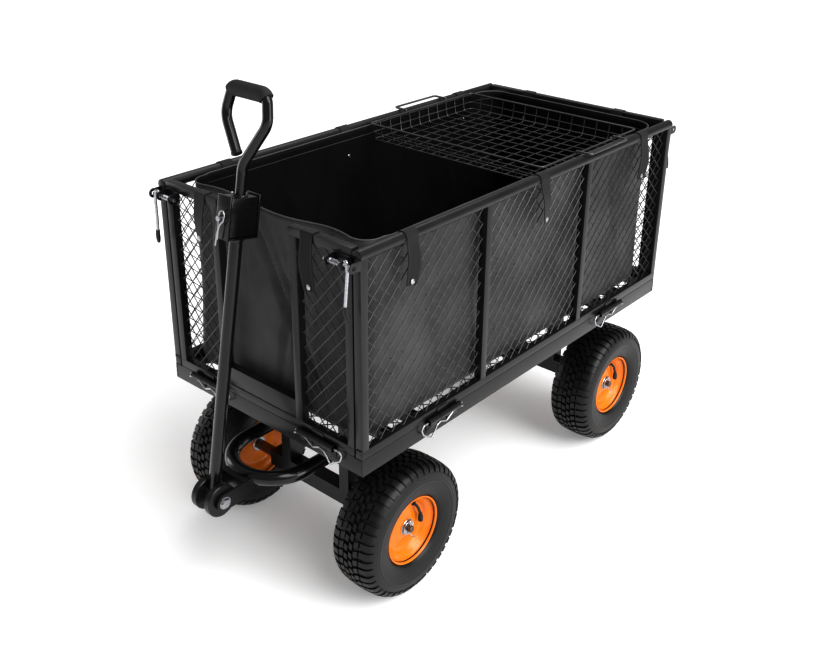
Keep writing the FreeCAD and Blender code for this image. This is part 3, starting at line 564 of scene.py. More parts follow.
def tube_rail(shape, wall, half, face):
    """A side panel's round top rail with its vinyl plugs, and the keepers at the panel's ends."""
    middle = face - POST / 2
    wall_rod(shape, wall, (-half, half), middle, TUBE_UP, RAIL_RADIUS, 28)
    for sign in (-1, 1):
        spots = [sign * half - sign * 2 * MM, sign * half + sign * 0.8 * MM, sign * half + sign * 1.8 * MM]
        wall_rod(shape, wall, spots, middle, TUBE_UP, mm(11.6, 11.6, 9), 24, 1)
    side = outward(wall).x
    for end in ("front", "rear"):
        latch_eye(shape, end, (side * (face - 3 * MM), side * (face - 0.3 * MM)), BED_Y - 1 * MM)


def kick_plate(shape, wall, face):
    """The low plate across the front panel's notch, with its lip and its weld seam."""
    top = SKIRT_TOP + KICK
    along = (-NOTCH + 0.5 * MM, NOTCH - 0.5 * MM)
    wall_block(shape, wall, along, (face - 3 * MM, face - 0.4 * MM), (LOW_RAIL_TOP - 1 * MM, top), 1.0 * MM)
    wall_block(shape, wall, along, (face - POST, face - 2 * MM), (top - 3 * MM, top - 0.3 * MM), 1.0 * MM)
    wall_rod(shape, wall, [k * 8 * MM for k in range(-13, 14)], face - 0.2 * MM, LOW_RAIL_TOP + 0.3 * MM,
             [1.2 * MM + 0.3 * MM * sin(k * 1.7) for k in range(27)], 8)


def build_panel_frame(wall):
    """Bottom rail, posts, top rail, hinge leaves and the latch parts that belong to the panel."""
    shape = Shape()
    face = outer(wall)
    side_wall = wall in SIDES
    half = BED_Y if side_wall else BED_X - POST - END_GAP
    depth = (face - POST, face)
    wall_block(shape, wall, (-half, half), depth, (PANEL_BASE, LOW_RAIL_TOP), BAR_EDGE)
    for spot in panel_posts(wall):
        top = TUBE_UP if side_wall else RAIL_TOP - (POST - 0.5 * MM)
        along = (spot - POST / 2, spot + POST / 2)
        wall_block(shape, wall, along, depth, (LOW_RAIL_TOP - 0.5 * MM, top), BAR_EDGE)
        weld_beads(shape, wall, spot, face)
    replaced = [f"{wall}_panel_frame"]
    if side_wall:
        tube_rail(shape, wall, half, face)
        replaced.append(f"{wall}_keepers")
    else:
        spans = [(-half, -NOTCH), (NOTCH, half)] if wall == "front" else [(-half, half)]
        for along in spans:
            wall_block(shape, wall, along, depth, (RAIL_TOP - POST, RAIL_TOP), BAR_EDGE)
        for side in (-1, 1):
            latch_bracket(shape, wall, side)
    if wall == "front":
        kick_plate(shape, wall, face)
    for spot in (-HINGE_SPOTS[wall], HINGE_SPOTS[wall]):
        along = (spot - KNUCKLE_HALF, spot + KNUCKLE_HALF)
        knuckle(shape, wall, *along)
        wall_block(shape, wall, along, (face - 0.5 * MM, face + LEAF_THICK),
                   (SKIRT_TOP + 2 * MM, SKIRT_TOP + 18 * MM), SHEET_EDGE)
    shape.make(f"{wall}_welded_frame", [FRAME_PAINT, VINYL], f"{wall}_panel", replaced, "frame_black")


def build_skirt():
    """Four lengths of steel angle with a weld bead at each corner."""
    shape = Shape()
    for wall in HINGE_SPOTS:
        face = outer(wall)
        side_wall = wall in SIDES
        half = BED_Y if side_wall else BED_X - ANGLE_THICK
        leg = half if side_wall else BED_X - ANGLE_LEG
        wall_block(shape, wall, (-half, half), (face - ANGLE_THICK, face), (SKIRT_LOW, SKIRT_TOP), 1.3 * MM)
        wall_block(shape, wall, (-leg, leg), (face - ANGLE_LEG, face - ANGLE_THICK),
                   (SKIRT_TOP - ANGLE_THICK, SKIRT_TOP), SHEET_EDGE)
    for x in (-1, 1):
        for y in (-1, 1):
            corner = Vector((x * (BED_X - 0.8 * MM), MID_Y + y * (BED_Y - 0.8 * MM), 0))
            path = [corner + Vector((0, 0, SKIRT_LOW + 2 * MM + k * 4 * MM)) for k in range(10)]
            shape.tube(path, [1.3 * MM + 0.35 * MM * sin(k * 2.1) for k in range(10)], 8)
    shape.make("skirt_angles", [FRAME_PAINT], CHASSIS, ["chassis_frame"], "frame_black")


def build_hinges():
    """Deck-side knuckles, and a bent wire pin with its zig-zag tail in each hinge."""
    barrels, pins = Shape(), Shape()
    tail = [(-58, 0, 0), (-70, 0, 0), (-78, 0.4, -8), (-73, 1.8, -22), (-46, 3, -39), (-27, 3, -15),
            (-14, 2.6, -12), (6, 2.6, -20), (28, 2, -7), (50, 1.6, -4), (64, 1.6, -9)]
    for wall, reach in HINGE_SPOTS.items():
        face = outer(wall)
        out = face + HINGE_OUT
        turn = 1 if wall in SIDES else -1
        for spot in (-reach, reach):
            for start, end in ((-54 * MM, -18 * MM), (18 * MM, 54 * MM)):
                along = (spot + start, spot + end)
                knuckle(barrels, wall, *along)
                wall_block(barrels, wall, along, (face, face + LEAF_THICK),
                           (SKIRT_TOP - 24 * MM, SKIRT_TOP - 2 * MM), SHEET_EDGE)
            wall_rod(pins, wall, (spot - 62 * MM, spot + 62 * MM), out, SKIRT_TOP, 2.4 * MM, 12)
            path = [wall_point(wall, spot + turn * a * MM, out + o * MM, SKIRT_TOP + u * MM)
                    for a, o, u in tail]
            pins.tube(rounded(path, 4 * MM, 5), 2.0 * MM, 10)
    barrels.make("deck_hinge_barrels", [FRAME_PAINT], CHASSIS, ["hinge_barrels"], "frame_black")
    pins.make("hinge_wire_pins", [ZINC], CHASSIS, ["hinge_pins"], "bright_steel")


def build_latch(wall, name, side):
    """A sliding bolt with its hanging leg, vinyl sleeve, two washers and spring."""
    shape = Shape()

    def spot(along, out=0, up=0):
        return wall_point(wall, side * along * MM, LATCH_OUT + out * MM, LATCH_UP + up * MM)
    shape.tube([spot(230), spot(305.3)], 3.5 * MM, 16)
    leg = [(284.5, 0, 0), (287, 1, 9), (294, 3, 11), (297, 4, -12), (294, 6, -60), (293, 8, -88)]
    shape.tube(rounded([spot(*place) for place in leg], mm(4, 5, 9, 40), 6), 3.4 * MM, 14)
    sleeve = [(293.2, 7.6, -82), (294, 8, -92), (296.5, 6, -104), (299, 4, -114)]
    shape.tube([spot(*place) for place in sleeve], mm(4.6, 5.2, 5.2, 3.6), 16, 1)
    for washer in (246, 270):
        shape.tube([spot(washer), spot(washer + 2)], 6 * MM, 18)
    coil_radius = 4.9
    coil = []
    for k in range(101):
        turn = 2 * pi * k / 12.5
        coil.append(spot(249 + 20 * k / 100, coil_radius * cos(turn), coil_radius * sin(turn)))
    shape.tube(coil, 0.8 * MM, 6)
    shape.make(f"{wall}_{name}_bolt", [ZINC, VINYL], f"{wall}_{name}_latch", [f"latch_{wall}_{name}"],
               "bright_steel")


# ---- wheels

# The sections of wheels and axles are in millimetres, from the axle's line.
TREAD_LOW = 161.5
TREAD_TOP = 168.0
TREAD_PITCHES = 46
LUG_TAPER = 0.86
AXLE_RADIUS = 8
BEARING_BORE = 8.3


def tyre_outline():
    """Section of the casing, from the bead out over the sidewall to the tread, and back inside."""
    outside = [(44.2, 78.5), (44.2, 84.6), (46.4, 86.4), (50.6, 88.6), (53.0, 92), (55.0, 97.6), (57.4, 105),
               (59.0, 112), (60.2, 120), (60.6, 126), (61.0, 127), (60.9, 128.4), (60.4, 129.4), (60.2, 134),
               (60.4, 135), (60.0, 136.6), (59.5, 137.4), (58.9, 141), (58.9, 142.4), (58.2, 143.8),
               (56.2, 149), (51, 156), (44, 160.4), (22, TREAD_LOW)]
    inside = [(36, 78.5), (37, 90), (50, 112), (51.5, 126), (48, 142), (40, 151), (20, 153.5)]
    loop = outside + [(-x, r) for x, r in reversed(outside)]
    loop += [(-x, r) for x, r in inside] + list(reversed(inside))
    return outline_mm(loop)


def lug(shape, centre, section, angle, half, skew=0.0):
    """A moulded rubber block: a cross-section swept through a small angle, narrower at its tip."""
    root = min(r for x, r in section)
    tip = max(r for x, r in section)
    points = []
    for side in (-1, 1):
        for x, r in section:
            narrow = 1 - (1 - LUG_TAPER) * (r - root) / (tip - root)
            turn = angle + side * half * narrow + skew * x
            points.append(Vector(centre) + Vector((x, r * cos(turn), r * sin(turn))) * MM)
    shape.prism(points)


def build_tyre(name, centre, body):
    """The casing with three kinds of block on each side: middle, second row and shoulder."""
    shape = Shape()
    shape.lathe(tyre_outline(), centre, 96)
    step = 2 * pi / TREAD_PITCHES
    middle = [(1.6, 160), (2.0, TREAD_TOP), (11.4, TREAD_TOP), (11.8, 160)]
    row = [(14.6, 160), (15.0, TREAD_TOP - 0.3), (27, TREAD_TOP - 1.0), (27.5, 159.6)]
    shoulder = [(30.4, 158.6), (31.0, TREAD_TOP - 1.4), (44, TREAD_TOP - 4), (52.5, 159.4), (57.2, 153.0),
                (58.6, 147.6), (55.6, 147.4), (48, 155)]
    for side in (-1, 1):
        here_middle, here_row, here_shoulder = ([(x * side, r) for x, r in section][::side]
                                                for section in (middle, row, shoulder))
        for k in range(TREAD_PITCHES):
            a = k * step
            shift = (0.06 if k % 2 else -0.02) * step
            lug(shape, centre, here_middle, a + (side + 1) * step * 0.25, step * 0.35, 0.0016)
            lug(shape, centre, here_row, a + step * 0.5, step * 0.36, -0.0022)
            lug(shape, centre, here_shoulder, a + shift, step * 0.35)
    shape.make(f"{name}_block_tyre", [TYRE], body, [f"{name}_tyre"], "tyre_rubber", angle=32)


def rim_half(side):
    """One pressed half of the split rim, as a thin shell from flange to hub."""
    front = [(45, 84), (47.6, 84.4), (48.6, 83), (48, 81.2), (46, 79.9), (42, 78.9), (37.5, 77.4),
             (34, 73.5), (30.5, 68), (26.5, 64.5), (22.5, 61.5), (20.6, 57.5), (20.6, 51), (22, 41),
             (24, 33), (26, 27.5), (26.6, 22.5)]
    back = [(24.6, 22.5), (24.1, 26.4), (22.1, 32), (20.1, 40.5), (18.6, 50.6), (18.6, 58), (21, 63.2),
            (25, 66.3), (28.7, 69.6), (32.2, 75.2), (36.5, 79.4), (41, 80.8), (44.4, 81.8)]
    return outline_mm(front + back, side)


def build_rim(name, centre, body, side):
    """The pressed rim with its hub, the two bearings, and the valve on the outer side."""
    rim, races, valve = Shape(), Shape(), Shape()
    hub = [(-27.5, 20), (-27.5, 22.6), (27.5, 22.6), (27.5, 20)]
    race = [(18, BEARING_BORE), (18, 19.9), (28.5, 19.9), (29.6, 18.6), (29.6, 12.5), (28.4, 11.5),
            (28.4, BEARING_BORE)]
    for half in (-1, 1):
        rim.lathe(rim_half(half), centre, 72)
        races.lathe(outline_mm(race, half), centre, 48)
    rim.lathe(outline_mm(hub), centre, 48)
    rim.make(f"{name}_pressed_rim", [ORANGE], body, [f"{name}_rim"], "orange_paint", angle=50)
    races.make(f"{name}_hub_bearings", [ZINC], body, [f"{name}_bearings"], "bright_steel")
    angle = radians(58)

    def at(x, r, back=0.0):
        turn = angle - back
        return Vector(centre) + Vector((side * x * MM, r * MM * cos(turn), r * MM * sin(turn)))
    stem = [at(16, 56), at(27, 55), at(33, 51, 0.12), at(34, 44, 0.55), at(34.5, 41, 0.8)]
    valve.tube(rounded(stem, mm(4, 4, 8), 5), 3.4 * MM, 14)
    cap = [at(34, 44.5, 0.5), at(34.4, 42, 0.72), at(34.8, 39.5, 1.02), at(34.8, 39, 1.08)]
    valve.tube(cap, mm(3.8, 6.0, 6.2, 4.4), 16)
    valve.tube([at(18, 56), at(21.2, 55.8), at(23.5, 55.5)], mm(7, 7, 4.4), 18)
    valve.make(f"{name}_valve_stem", [SOFT_RUBBER], body, [f"{name}_inner_tube"], "tube_rubber")


def build_axle(end, body):
    """The axle bar with its collars, and a washer and a cotter pin at each end."""
    bar, pins = Shape(), Shape()
    low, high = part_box(f"{end}_axle")
    middle = (low + high) / 2
    reach = high.x - 3 * MM
    chamfer = 1.5 * MM

    def on_axle(x, back=0.0, up=0.0):
        return Vector((x, middle.y + back, middle.z + up))
    bar.tube([on_axle(x) for x in (-reach, -reach + chamfer, reach - chamfer, reach)],
             mm(6.8, AXLE_RADIUS, AXLE_RADIUS, 6.8), 32)
    disc = [(285.6, BEARING_BORE), (285.6, 16.6), (286.2, 17.2), (288.2, 17.2), (288.8, 16.6),
            (288.8, BEARING_BORE)]
    for side in (-1, 1):
        bar.tube([on_axle(side * x * MM) for x in (160, 161, 223, 224.4)], mm(12, 13, 13, 12), 32)
        pins.lathe(outline_mm(disc, side), on_axle(0), 40)
        x = side * 293 * MM
        legs = [(0, 0, 15), (0, 0, -14), (5, 3, -21), (9, 6, -20)]
        pins.tube([on_axle(x + side * a * MM, b * MM, c * MM) for a, b, c in legs], 1.6 * MM, 10)
        eye_radius = 3.4 * MM
        turns = [2 * pi * k / 14 for k in range(14)]
        eye = [on_axle(x, eye_radius * sin(t), 18 * MM - eye_radius * cos(t)) for t in turns]
        pins.tube(eye, 1.3 * MM, 8, closed=True)
    pins.make(f"{end}_washers_and_pins", [ZINC], body, [f"{end}_axle_retainers"], "bright_steel")
    bar.make(f"{end}_axle_bar", [DULL_STEEL], body, [f"{end}_axle"], "bright_steel")


def build_wheels():
    for name in ("front_left", "front_right", "rear_left", "rear_right"):
        centre = sum(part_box(f"{name}_tyre"), Vector()) / 2
        build_tyre(name, centre, f"{name}_wheel")
        build_rim(name, centre, f"{name}_wheel", 1 if centre.x > 0 else -1)
    build_axle("front", "front_axle")
    build_axle("rear", CHASSIS)


# ---- tow gear

# In millimetres: heights up the tow bar from its pivot, half widths of yoke and handle, and radii.
YOKE_BASE = 589
YOKE_HALF = 20
YOKE_REACH = 40
YOKE_TOP = YOKE_BASE + 91
YOKE_THICK = 5
PIN_UP = YOKE_BASE + 45
SOCKET_TOP = YOKE_TOP - 3
LOOP_BASE = SOCKET_TOP - 1
GRIP_UP = LOOP_BASE + 211
LOOP_HALF = 65
GRIP_HALF = 50
POLE_RADIUS = 14
PIN_RADIUS = 6


def lean(x, y, z):
    """A point in millimetres given upright on the tow bar's pivot, leaned with the parked bar."""
    turn = Matrix.Rotation(-LEAN, 3, "X")
    return Vector((0, BOLT.y, BOLT.z)) + turn @ (Vector((x, y, z)) * MM)


def leaned_block(shape, low, high, edge):
    start = len(shape.bm.verts)
    shape.block(Vector(low) * MM, Vector(high) * MM, edge)
    shape.bm.verts.ensure_lookup_table()
    turn = Matrix.Translation((0, BOLT.y, BOLT.z)) @ Matrix.Rotation(-LEAN, 4, "X")
    for corner in shape.bm.verts[start:]:
        corner.co = turn @ corner.co


def handle_path():
    """The loop: up from the socket, out, over under the grip, and back down to its free end."""
    corners = [(0, -4), (0, 64), (LOOP_HALF - 3, 156), (GRIP_HALF + 3, 211), (-GRIP_HALF, 211),
               (-LOOP_HALF, 156), (-21, 84)]
    return rounded([lean(x, 0, LOOP_BASE + z) for x, z in corners], mm(50, 42, 20, 20, 46), 12)


def build_pole():
    """The tow bar's tube with a weld collar under the yoke, and the knuckle at its foot."""
    bar, foot = Shape(), Shape()
    bar.tube([lean(0, 0, z) for z in (21, 22, YOKE_BASE)], mm(13.4, POLE_RADIUS, POLE_RADIUS), 32)
    bar.tube([lean(0, 0, z) for z in (YOKE_BASE - 7, YOKE_BASE - 4, YOKE_BASE)], mm(14.2, 16.4, 17.4), 32)
    bar.make("tow_bar_pole", [GLOSS_PAINT], "tow_bar", ["tow_bar_tube"], "tow_gloss_black")
    foot.tube([lean(x, 0, 0) for x in (-20, 20)], 20 * MM, 40)
    for side in (-1, 1):
        foot.tube([lean(side * x, 0, 0) for x in (14.1, 15.6, 28.6, 30.1)], mm(36.4, 38, 38, 36.4), 56)
        foot.tube([lean(side * x, 0, 0) for x in (29, 31.4)], 15 * MM, 32)
    foot.make("tow_bar_knuckle", [FRAME_PAINT], "tow_bar", ["tow_bar_foot"], "tow_gloss_black")


def build_handle():
    """Yoke, handle socket with its weld, bent loop, foam grip and end cap."""
    yoke, handle, grip, cap = Shape(), Shape(), Shape(), Shape()
    inner = YOKE_REACH - YOKE_THICK
    leaned_block(yoke, (-YOKE_HALF, -inner - 0.5, YOKE_BASE),
                 (YOKE_HALF, inner + 0.5, YOKE_BASE + YOKE_THICK), BAR_EDGE)
    for edge in (-YOKE_REACH, inner):
        leaned_block(yoke, (-YOKE_HALF, edge, YOKE_BASE), (YOKE_HALF, edge + YOKE_THICK, YOKE_TOP), BAR_EDGE)
    yoke.make("tow_yoke_bracket", [GLOSS_PAINT], "tow_bar", ["tow_yoke"], "tow_gloss_black")

    side, reach = YOKE_HALF - 1.5, inner - 1
    leaned_block(handle, (-side, -reach, YOKE_BASE + YOKE_THICK + 1), (side, reach, SOCKET_TOP), 2 * MM)
    for k in range(16):
        turns = [2 * pi * k / 16 + d for d in (0, 0.2, 0.4)]
        bead = [lean(14 * cos(turn), 14 * sin(turn), SOCKET_TOP + 0.6) for turn in turns]
        handle.tube(bead, mm(2.2, 2.9, 2.0), 8)
    path = handle_path()
    handle.tube(path, 11 * MM, 24)
    handle.make("handle_loop", [GLOSS_PAINT], "tow_bar", ["tow_handle"], "tow_gloss_black")

    middle = lean(0, 0, GRIP_UP)
    over = [p for p in path if (p - middle).length < 52 * MM]
    last = len(over) - 1
    swell = [(15.2 + 1.4 * sin(pi * k / last) ** 0.6) * MM for k in range(len(over))]
    grip.tube(over, swell, 28)
    for end, after in ((over[0], over[1]), (over[-1], over[-2])):
        rim = (end - after).normalized()
        grip.tube([end + rim * step for step in mm(-3, -1, 0.8)], mm(15.4, 15.9, 14.2), 28)
    grip.make("foam_grip", [FOAM], "tow_bar", ["handle_grip"], "grip_foam")

    end = path[-1]
    along = (end - path[-2]).normalized()
    cap.tube([end + along * step for step in mm(-3, -2.4, 2.4, 4.6)], mm(11.2, 11.9, 11.7, 8.6), 24)
    cap.make("loop_end_cap", [VINYL], "tow_bar", ["handle_end_cap"], "black_plastic")


def build_hitch_pin():
    """The cross pin through yoke and socket, and the spring clip that hangs on it."""
    pin, clip = Shape(), Shape()
    pin.tube([lean(0, y, PIN_UP) for y in (-54, -53, 40)], mm(5, PIN_RADIUS, PIN_RADIUS), 24)
    pin.tube([lean(0, y, PIN_UP) for y in (40, 41, 45, 46.5)], mm(11, 12, 12, 9.5), 6)
    pin.make("hitch_cross_pin", [ZINC], "tow_bar", ["hitch_pin"], "bright_steel")
    route = [(-6, -58), (-3, -34), (3, -14), (11, -4), (13, 8), (7, 17), (0, 14), (-2, 4), (0, -22),
             (-1, -44)]
    path = [lean(x, -48 - 1.2 * sin(i), PIN_UP + z) for i, (x, z) in enumerate(route)]
    clip.tube(rounded(path, 2.2 * MM, 5), 1.7 * MM, 10)
    clip.make("hitch_r_clip", [ZINC], "tow_bar", ["hitch_clip"], "bright_steel")


def build_tow_frame():
    """The bent tube in front of the axle, the two cheeks with their web, and the pivot bolt."""
    hoop, bracket, bolt = Shape(), Shape(), Shape()
    low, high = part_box("tow_hoop")
    radius, tube = 100 * MM, 17 * MM
    height = (low.z + high.z) / 2
    back, front = high.y, low.y + tube
    half_way = (back + front + radius) / 2
    path = [Vector((-radius, back, height)), Vector((-radius, half_way, height))]
    for k in range(49):
        a = pi * k / 48
        path.append(Vector((-radius * cos(a), front + radius - radius * sin(a), height)))
    path += [Vector((radius, half_way, height)), Vector((radius, back, height))]
    hoop.tube(path, tube, 28)
    hoop.make("tow_hoop_tube", [GLOSS_PAINT], "front_axle", ["tow_hoop"], "tow_gloss_black")

    web_back = front - 2 * MM
    tall = 23 * MM
    inner, outside = 34 * MM, 39 * MM
    outline = [(web_back + 8 * MM, tall), (web_back + 8 * MM, -tall)]
    for k in range(13):
        a = radians(-90 - 15 * k)
        outline.append((BOLT.y + tall * 0.87 * cos(a), tall * 0.87 * sin(a)))
    for side in (-1, 1):
        bracket.prism([Vector((side * x, y, BOLT.z + z)) for x in (inner, outside) for y, z in outline])
    bracket.block((-inner, web_back - 26 * MM, BOLT.z - tall), (inner, web_back, BOLT.z + tall), 2 * MM)
    bracket.make("tow_bracket_cheeks", [FRAME_PAINT], "front_axle", ["tow_bracket"], "tow_gloss_black")

    def on_bolt(*places):
        return [Vector((x * MM, BOLT.y, BOLT.z)) for x in places]
    for a, b, c in ((39, 41, 45), (-39, -42, -46)):
        bolt.tube(on_bolt(a, b, c), mm(13, 13, 10.5), 6)
        bolt.tube(on_bolt(a, a + copysign(1.4, a)), 14.5 * MM, 28)
    bolt.tube(on_bolt(-48.5, -47.5, 44), mm(5, PIN_RADIUS, PIN_RADIUS), 20)
    bolt.make("tow_pivot_screw", [ZINC], "front_axle", ["tow_pivot_bolt"], "bright_steel")


def finish_cad_nodes():
    """CAD nodes whose shape is right keep it and get their material."""
    for name, material in (("deck_crossbars", FRAME_PAINT), ("kingpin", ZINC),
                           ("rear_axle_frame", FRAME_PAINT), ("front_axle_frame", FRAME_PAINT)):
        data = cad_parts[name].data
        data.materials.clear()
        data.materials.append(material)


# ---- fabric

LINER_LOW = SKIRT_TOP + 3.4 * MM
LINER_TOP = RAIL_TOP - 10 * MM
LINER_X = 280.5 * MM
LINER_Y = 578 * MM
LINER_CORNER = 0.06
FABRIC_THICK = 1.3 * MM
LINER_AROUND = 480
LINER_LEVELS = 44
FLOOR_BEND = 0.035
BEND_SHARE = 0.12
FLOOR_RINGS = 14
FRONT_WALL = -0.5
DIP_HALF = 0.2
DIP_DEEP = 0.016

# Each fold: where its foot is, how far it drifts sideways up the wall, its depth and its width.
FRONT_FOLDS = ((-0.10, 0.30, 0.014, 0.011), (-0.05, 0.24, 0.011, 0.009), (0.01, 0.10, 0.009, 0.012),
               (0.08, -0.06, 0.008, 0.012), (0.17, 0.10, 0.008, 0.012), (-0.18, 0.06, 0.008, 0.012))
OTHER_FOLDS = ((-0.42, 0.10, 0.005, 0.014), (-0.31, 0.22, 0.006, 0.016), (-0.12, -0.12, 0.005, 0.013),
               (0.03, 0.1, 0.005, 0.012), (0.19, -0.08, 0.006, 0.015), (0.33, 0.12, 0.006, 0.014))


def rounded_rectangle(half_x, half_y, radius, steps):
    """Points evenly spaced round a rounded rectangle, each with its outward normal."""
    arc = pi * radius / 2
    total = 4 * (half_x - radius) + 4 * (half_y - radius) + 4 * arc
    found = []
    for k in range(steps):
        d = total * k / steps
        for corner in range(4):
            face, reach = (half_x, half_y) if corner % 2 == 0 else (half_y, half_x)
            spin = Matrix.Rotation(corner * pi / 2, 2)
            straight = 2 * (reach - radius)
            if d < straight:
                place, normal = Vector((face, radius - reach + d)), Vector((1, 0))
                break
            d -= straight
            if d < arc:
                normal = Vector((cos(d / radius), sin(d / radius)))
                place = Vector((face - radius, reach - radius)) + normal * radius
                break
            d -= arc
        found.append((spin @ place, spin @ normal))
    return found


def wall_inset(x, y, share):
    """How far the liner's wall stands inward at a height share 0..1: sag, waves and folds."""
    inset = 0.0
    if y < FRONT_WALL:
        inset += 0.040 * share ** 1.5 * max(0.0, 1 - abs(x / 0.29) ** 4)
    waves = (sin(x * 23 + y * 7 + 1.3) * 0.5 + sin(y * 17 - x * 11 + share * 5) * 0.6
             + sin((x + y) * 41 + share * 9) * 0.25)
    inset += 0.0035 * (1 + waves) * sin(pi * min(1, share * 1.02)) ** 0.8
    folds, along = (FRONT_FOLDS, x) if y < FRONT_WALL else (OTHER_FOLDS, y)
    for start, slope, deep, wide in folds:
        line = start + slope * (1 - share)
        inset += deep * exp(-((along - line) / wide) ** 2) * sin(pi * share)
    return inset


def height_share(up):
    """How far up the liner's wall a height is, from 0 at its floor to 1 at its mouth."""
    return max(0.0, (up - LINER_LOW) / (LINER_TOP - LINER_LOW))


def liner_walls():
    """Rings of points up the liner's walls, from its rounded foot to its mouth."""
    points = []
    around = rounded_rectangle(LINER_X, LINER_Y, LINER_CORNER, LINER_AROUND)
    for level in range(LINER_LEVELS + 1):
        share = level / LINER_LEVELS
        if share < BEND_SHARE:
            turn = share / BEND_SHARE * pi / 2
            foot = FLOOR_BEND * (1 - sin(turn))
            ring_up = LINER_LOW + FLOOR_BEND * (1 - cos(turn))
        else:
            foot = 0.0
            straight = LINER_TOP - LINER_LOW - FLOOR_BEND
            ring_up = LINER_LOW + FLOOR_BEND + straight * (share - BEND_SHARE) / (1 - BEND_SHARE)
        height = height_share(ring_up)
        for spot, normal in around:
            place = spot - normal * (foot + wall_inset(spot.x, spot.y, height))
            up = ring_up
            if abs(spot.x) < DIP_HALF and spot.y < FRONT_WALL:
                up -= DIP_DEEP * cos(spot.x / DIP_HALF * pi / 2) ** 2 * height ** 2
            points.append(Vector((place.x, place.y + MID_Y, up)))
    return points


def build_liner():
    """The sewn tub: walls and floor as one thick shell, with a hem round its mouth."""
    walls = liner_walls()
    points = list(walls)
    faces = ring_faces(LINER_LEVELS + 1, LINER_AROUND)
    outer_row = 0
    for ring in range(1, FLOOR_RINGS + 1):
        shrink = 1 - ring / FLOOR_RINGS * 0.985
        inner_row = len(points)
        for k, edge in enumerate(walls[:LINER_AROUND]):
            wrinkle = 0.0012 * sin(edge.x * 30 * shrink + ring) * sin(edge.y * 19 + ring * 0.7)
            place = (edge.x * shrink, (edge.y - MID_Y) * shrink + MID_Y, LINER_LOW + max(0, wrinkle))
            points.append(Vector(place))
            n = (k + 1) % LINER_AROUND
            faces.append((inner_row + k, inner_row + n, outer_row + n, outer_row + k))
        outer_row = inner_row
    faces.append(tuple(range(outer_row, outer_row + LINER_AROUND))[::-1])
    data = bpy.data.meshes.new("liner_shell")
    data.from_pydata(points, [], faces)
    shell = link("fabric_liner", data)
    data.materials.append(LINER_OUT)
    data.materials.append(LINER_IN)
    thick = shell.modifiers.new("thick", "SOLIDIFY")
    thick.thickness = FABRIC_THICK
    thick.offset = -1
    thick.use_even_offset = False
    thick.material_offset = 1
    bpy.context.view_layer.update()
    solid = bpy.data.meshes.new_from_object(shell.evaluated_get(bpy.context.evaluated_depsgraph_get()))
    shell.modifiers.clear()
    shell.data = solid
    for face in solid.polygons:
        face.use_smooth = True
    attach(shell, CHASSIS)
    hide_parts("liner")
    build_hem(walls)


def build_hem(walls):
    """The turned and stitched hem round the liner's mouth; its lighter grey is a painted highlight along the
    top edge.
    """
    shape = Shape()
    top = walls[LINER_LEVELS * LINER_AROUND::2]
    shape.tube([p + Vector((0, 0, 0.4 * MM)) for p in top], 1.7 * MM, 8, closed=True)
    below = (LINER_LEVELS - 2) * LINER_AROUND
    line = []
    for p in walls[below:below + LINER_AROUND:2]:
        inward = Vector((0, MID_Y, 0)) - p
        inward.z = 0
        line.append(p + inward.normalized() * 1.6 * MM)
    shape.tube(line, 0.7 * MM, 6, kind=1, closed=True)
    shape.make("liner_hem", [HEM_PAINTED_HIGHLIGHT, THREAD], CHASSIS, (), "liner_fabric")


STRAPS = {"left": (-465, 0, 455), "right": (-430, -37, 450), "front": (-165, 165), "rear": (-150, 150)}
STRAP_HANG = 118


def strap_route(wall, spot, hang, drift):
    """Webbing from its stud outside, up and over the rail, and down to the liner inside."""
    side_wall = wall in SIDES
    middle = outer(wall) - POST / 2
    reach = (RAIL_RADIUS if side_wall else POST / 2) + 1.2 * MM
    bend = RAIL_RADIUS if side_wall else 3 * MM
    bulge = (7 if side_wall else 6) * MM
    route = []
    for k in range(11):
        share = k / 10
        bow = bulge * sin(pi * share ** 1.3) + 4 * MM * (1 - share)
        route.append((middle + reach + bow * (1 - share ** 3), RAIL_TOP - bend - (hang - bend) * (1 - share),
                      drift * (1 - share) ** 2))
    if side_wall:
        for k in range(1, 13):
            turn = pi * k / 12
            route.append((middle + reach * cos(turn), TUBE_UP + reach * sin(turn), 0))
    else:
        route += [(middle + reach * share, RAIL_TOP + rise * MM, 0)
                  for share, rise in ((0.85, 1), (0, 1.4), (-0.85, 1), (-1, -3))]
    route.append((middle - reach, RAIL_TOP - 14 * MM, 0))
    return [wall_point(wall, spot + along, out, up) for out, up, along in route]


def build_straps():
    """Webbing straps, each with two stitched seams and a press stud, a little twisted at its end."""
    for wall, spots in STRAPS.items():
        shape = Shape()
        out = outward(wall)
        for number, spot in enumerate(spots):
            hang = (STRAP_HANG + 6 * sin(number * 2.3 + len(wall))) * MM
            odd = number % 2
            path = strap_route(wall, spot * MM, hang, (8 if odd else -5) * MM)
            sides, widths = [], []
            for k in range(len(path)):
                twist = 0.32 * max(0.0, 1 - k / 9) * (-1 if odd else 1)
                sides.append((sideways(wall) + out * twist).normalized())
                widths.append((26 + 8 * min(1, k / 4)) * MM)
            shape.band(path, sides, widths, 1.7 * MM)
            for edge in (-1, 1):
                seam = [p + side * edge * (width / 2 - 3 * MM) + out * 0.95 * MM
                        for p, side, width in zip(path[:10], sides, widths)]
                shape.tube(seam, 0.45 * MM, 6, kind=2)
            stud_at = path[0] + (path[1] - path[0]) * 0.75
            shape.stud(stud_at + out * 1.4 * MM, out, 6.2 * MM, 1)
        shape.make(f"{wall}_webbing_straps", [WEBBING, ZINC, THREAD], f"{wall}_panel", [f"{wall}_straps"],
                   "webbing", angle=30)


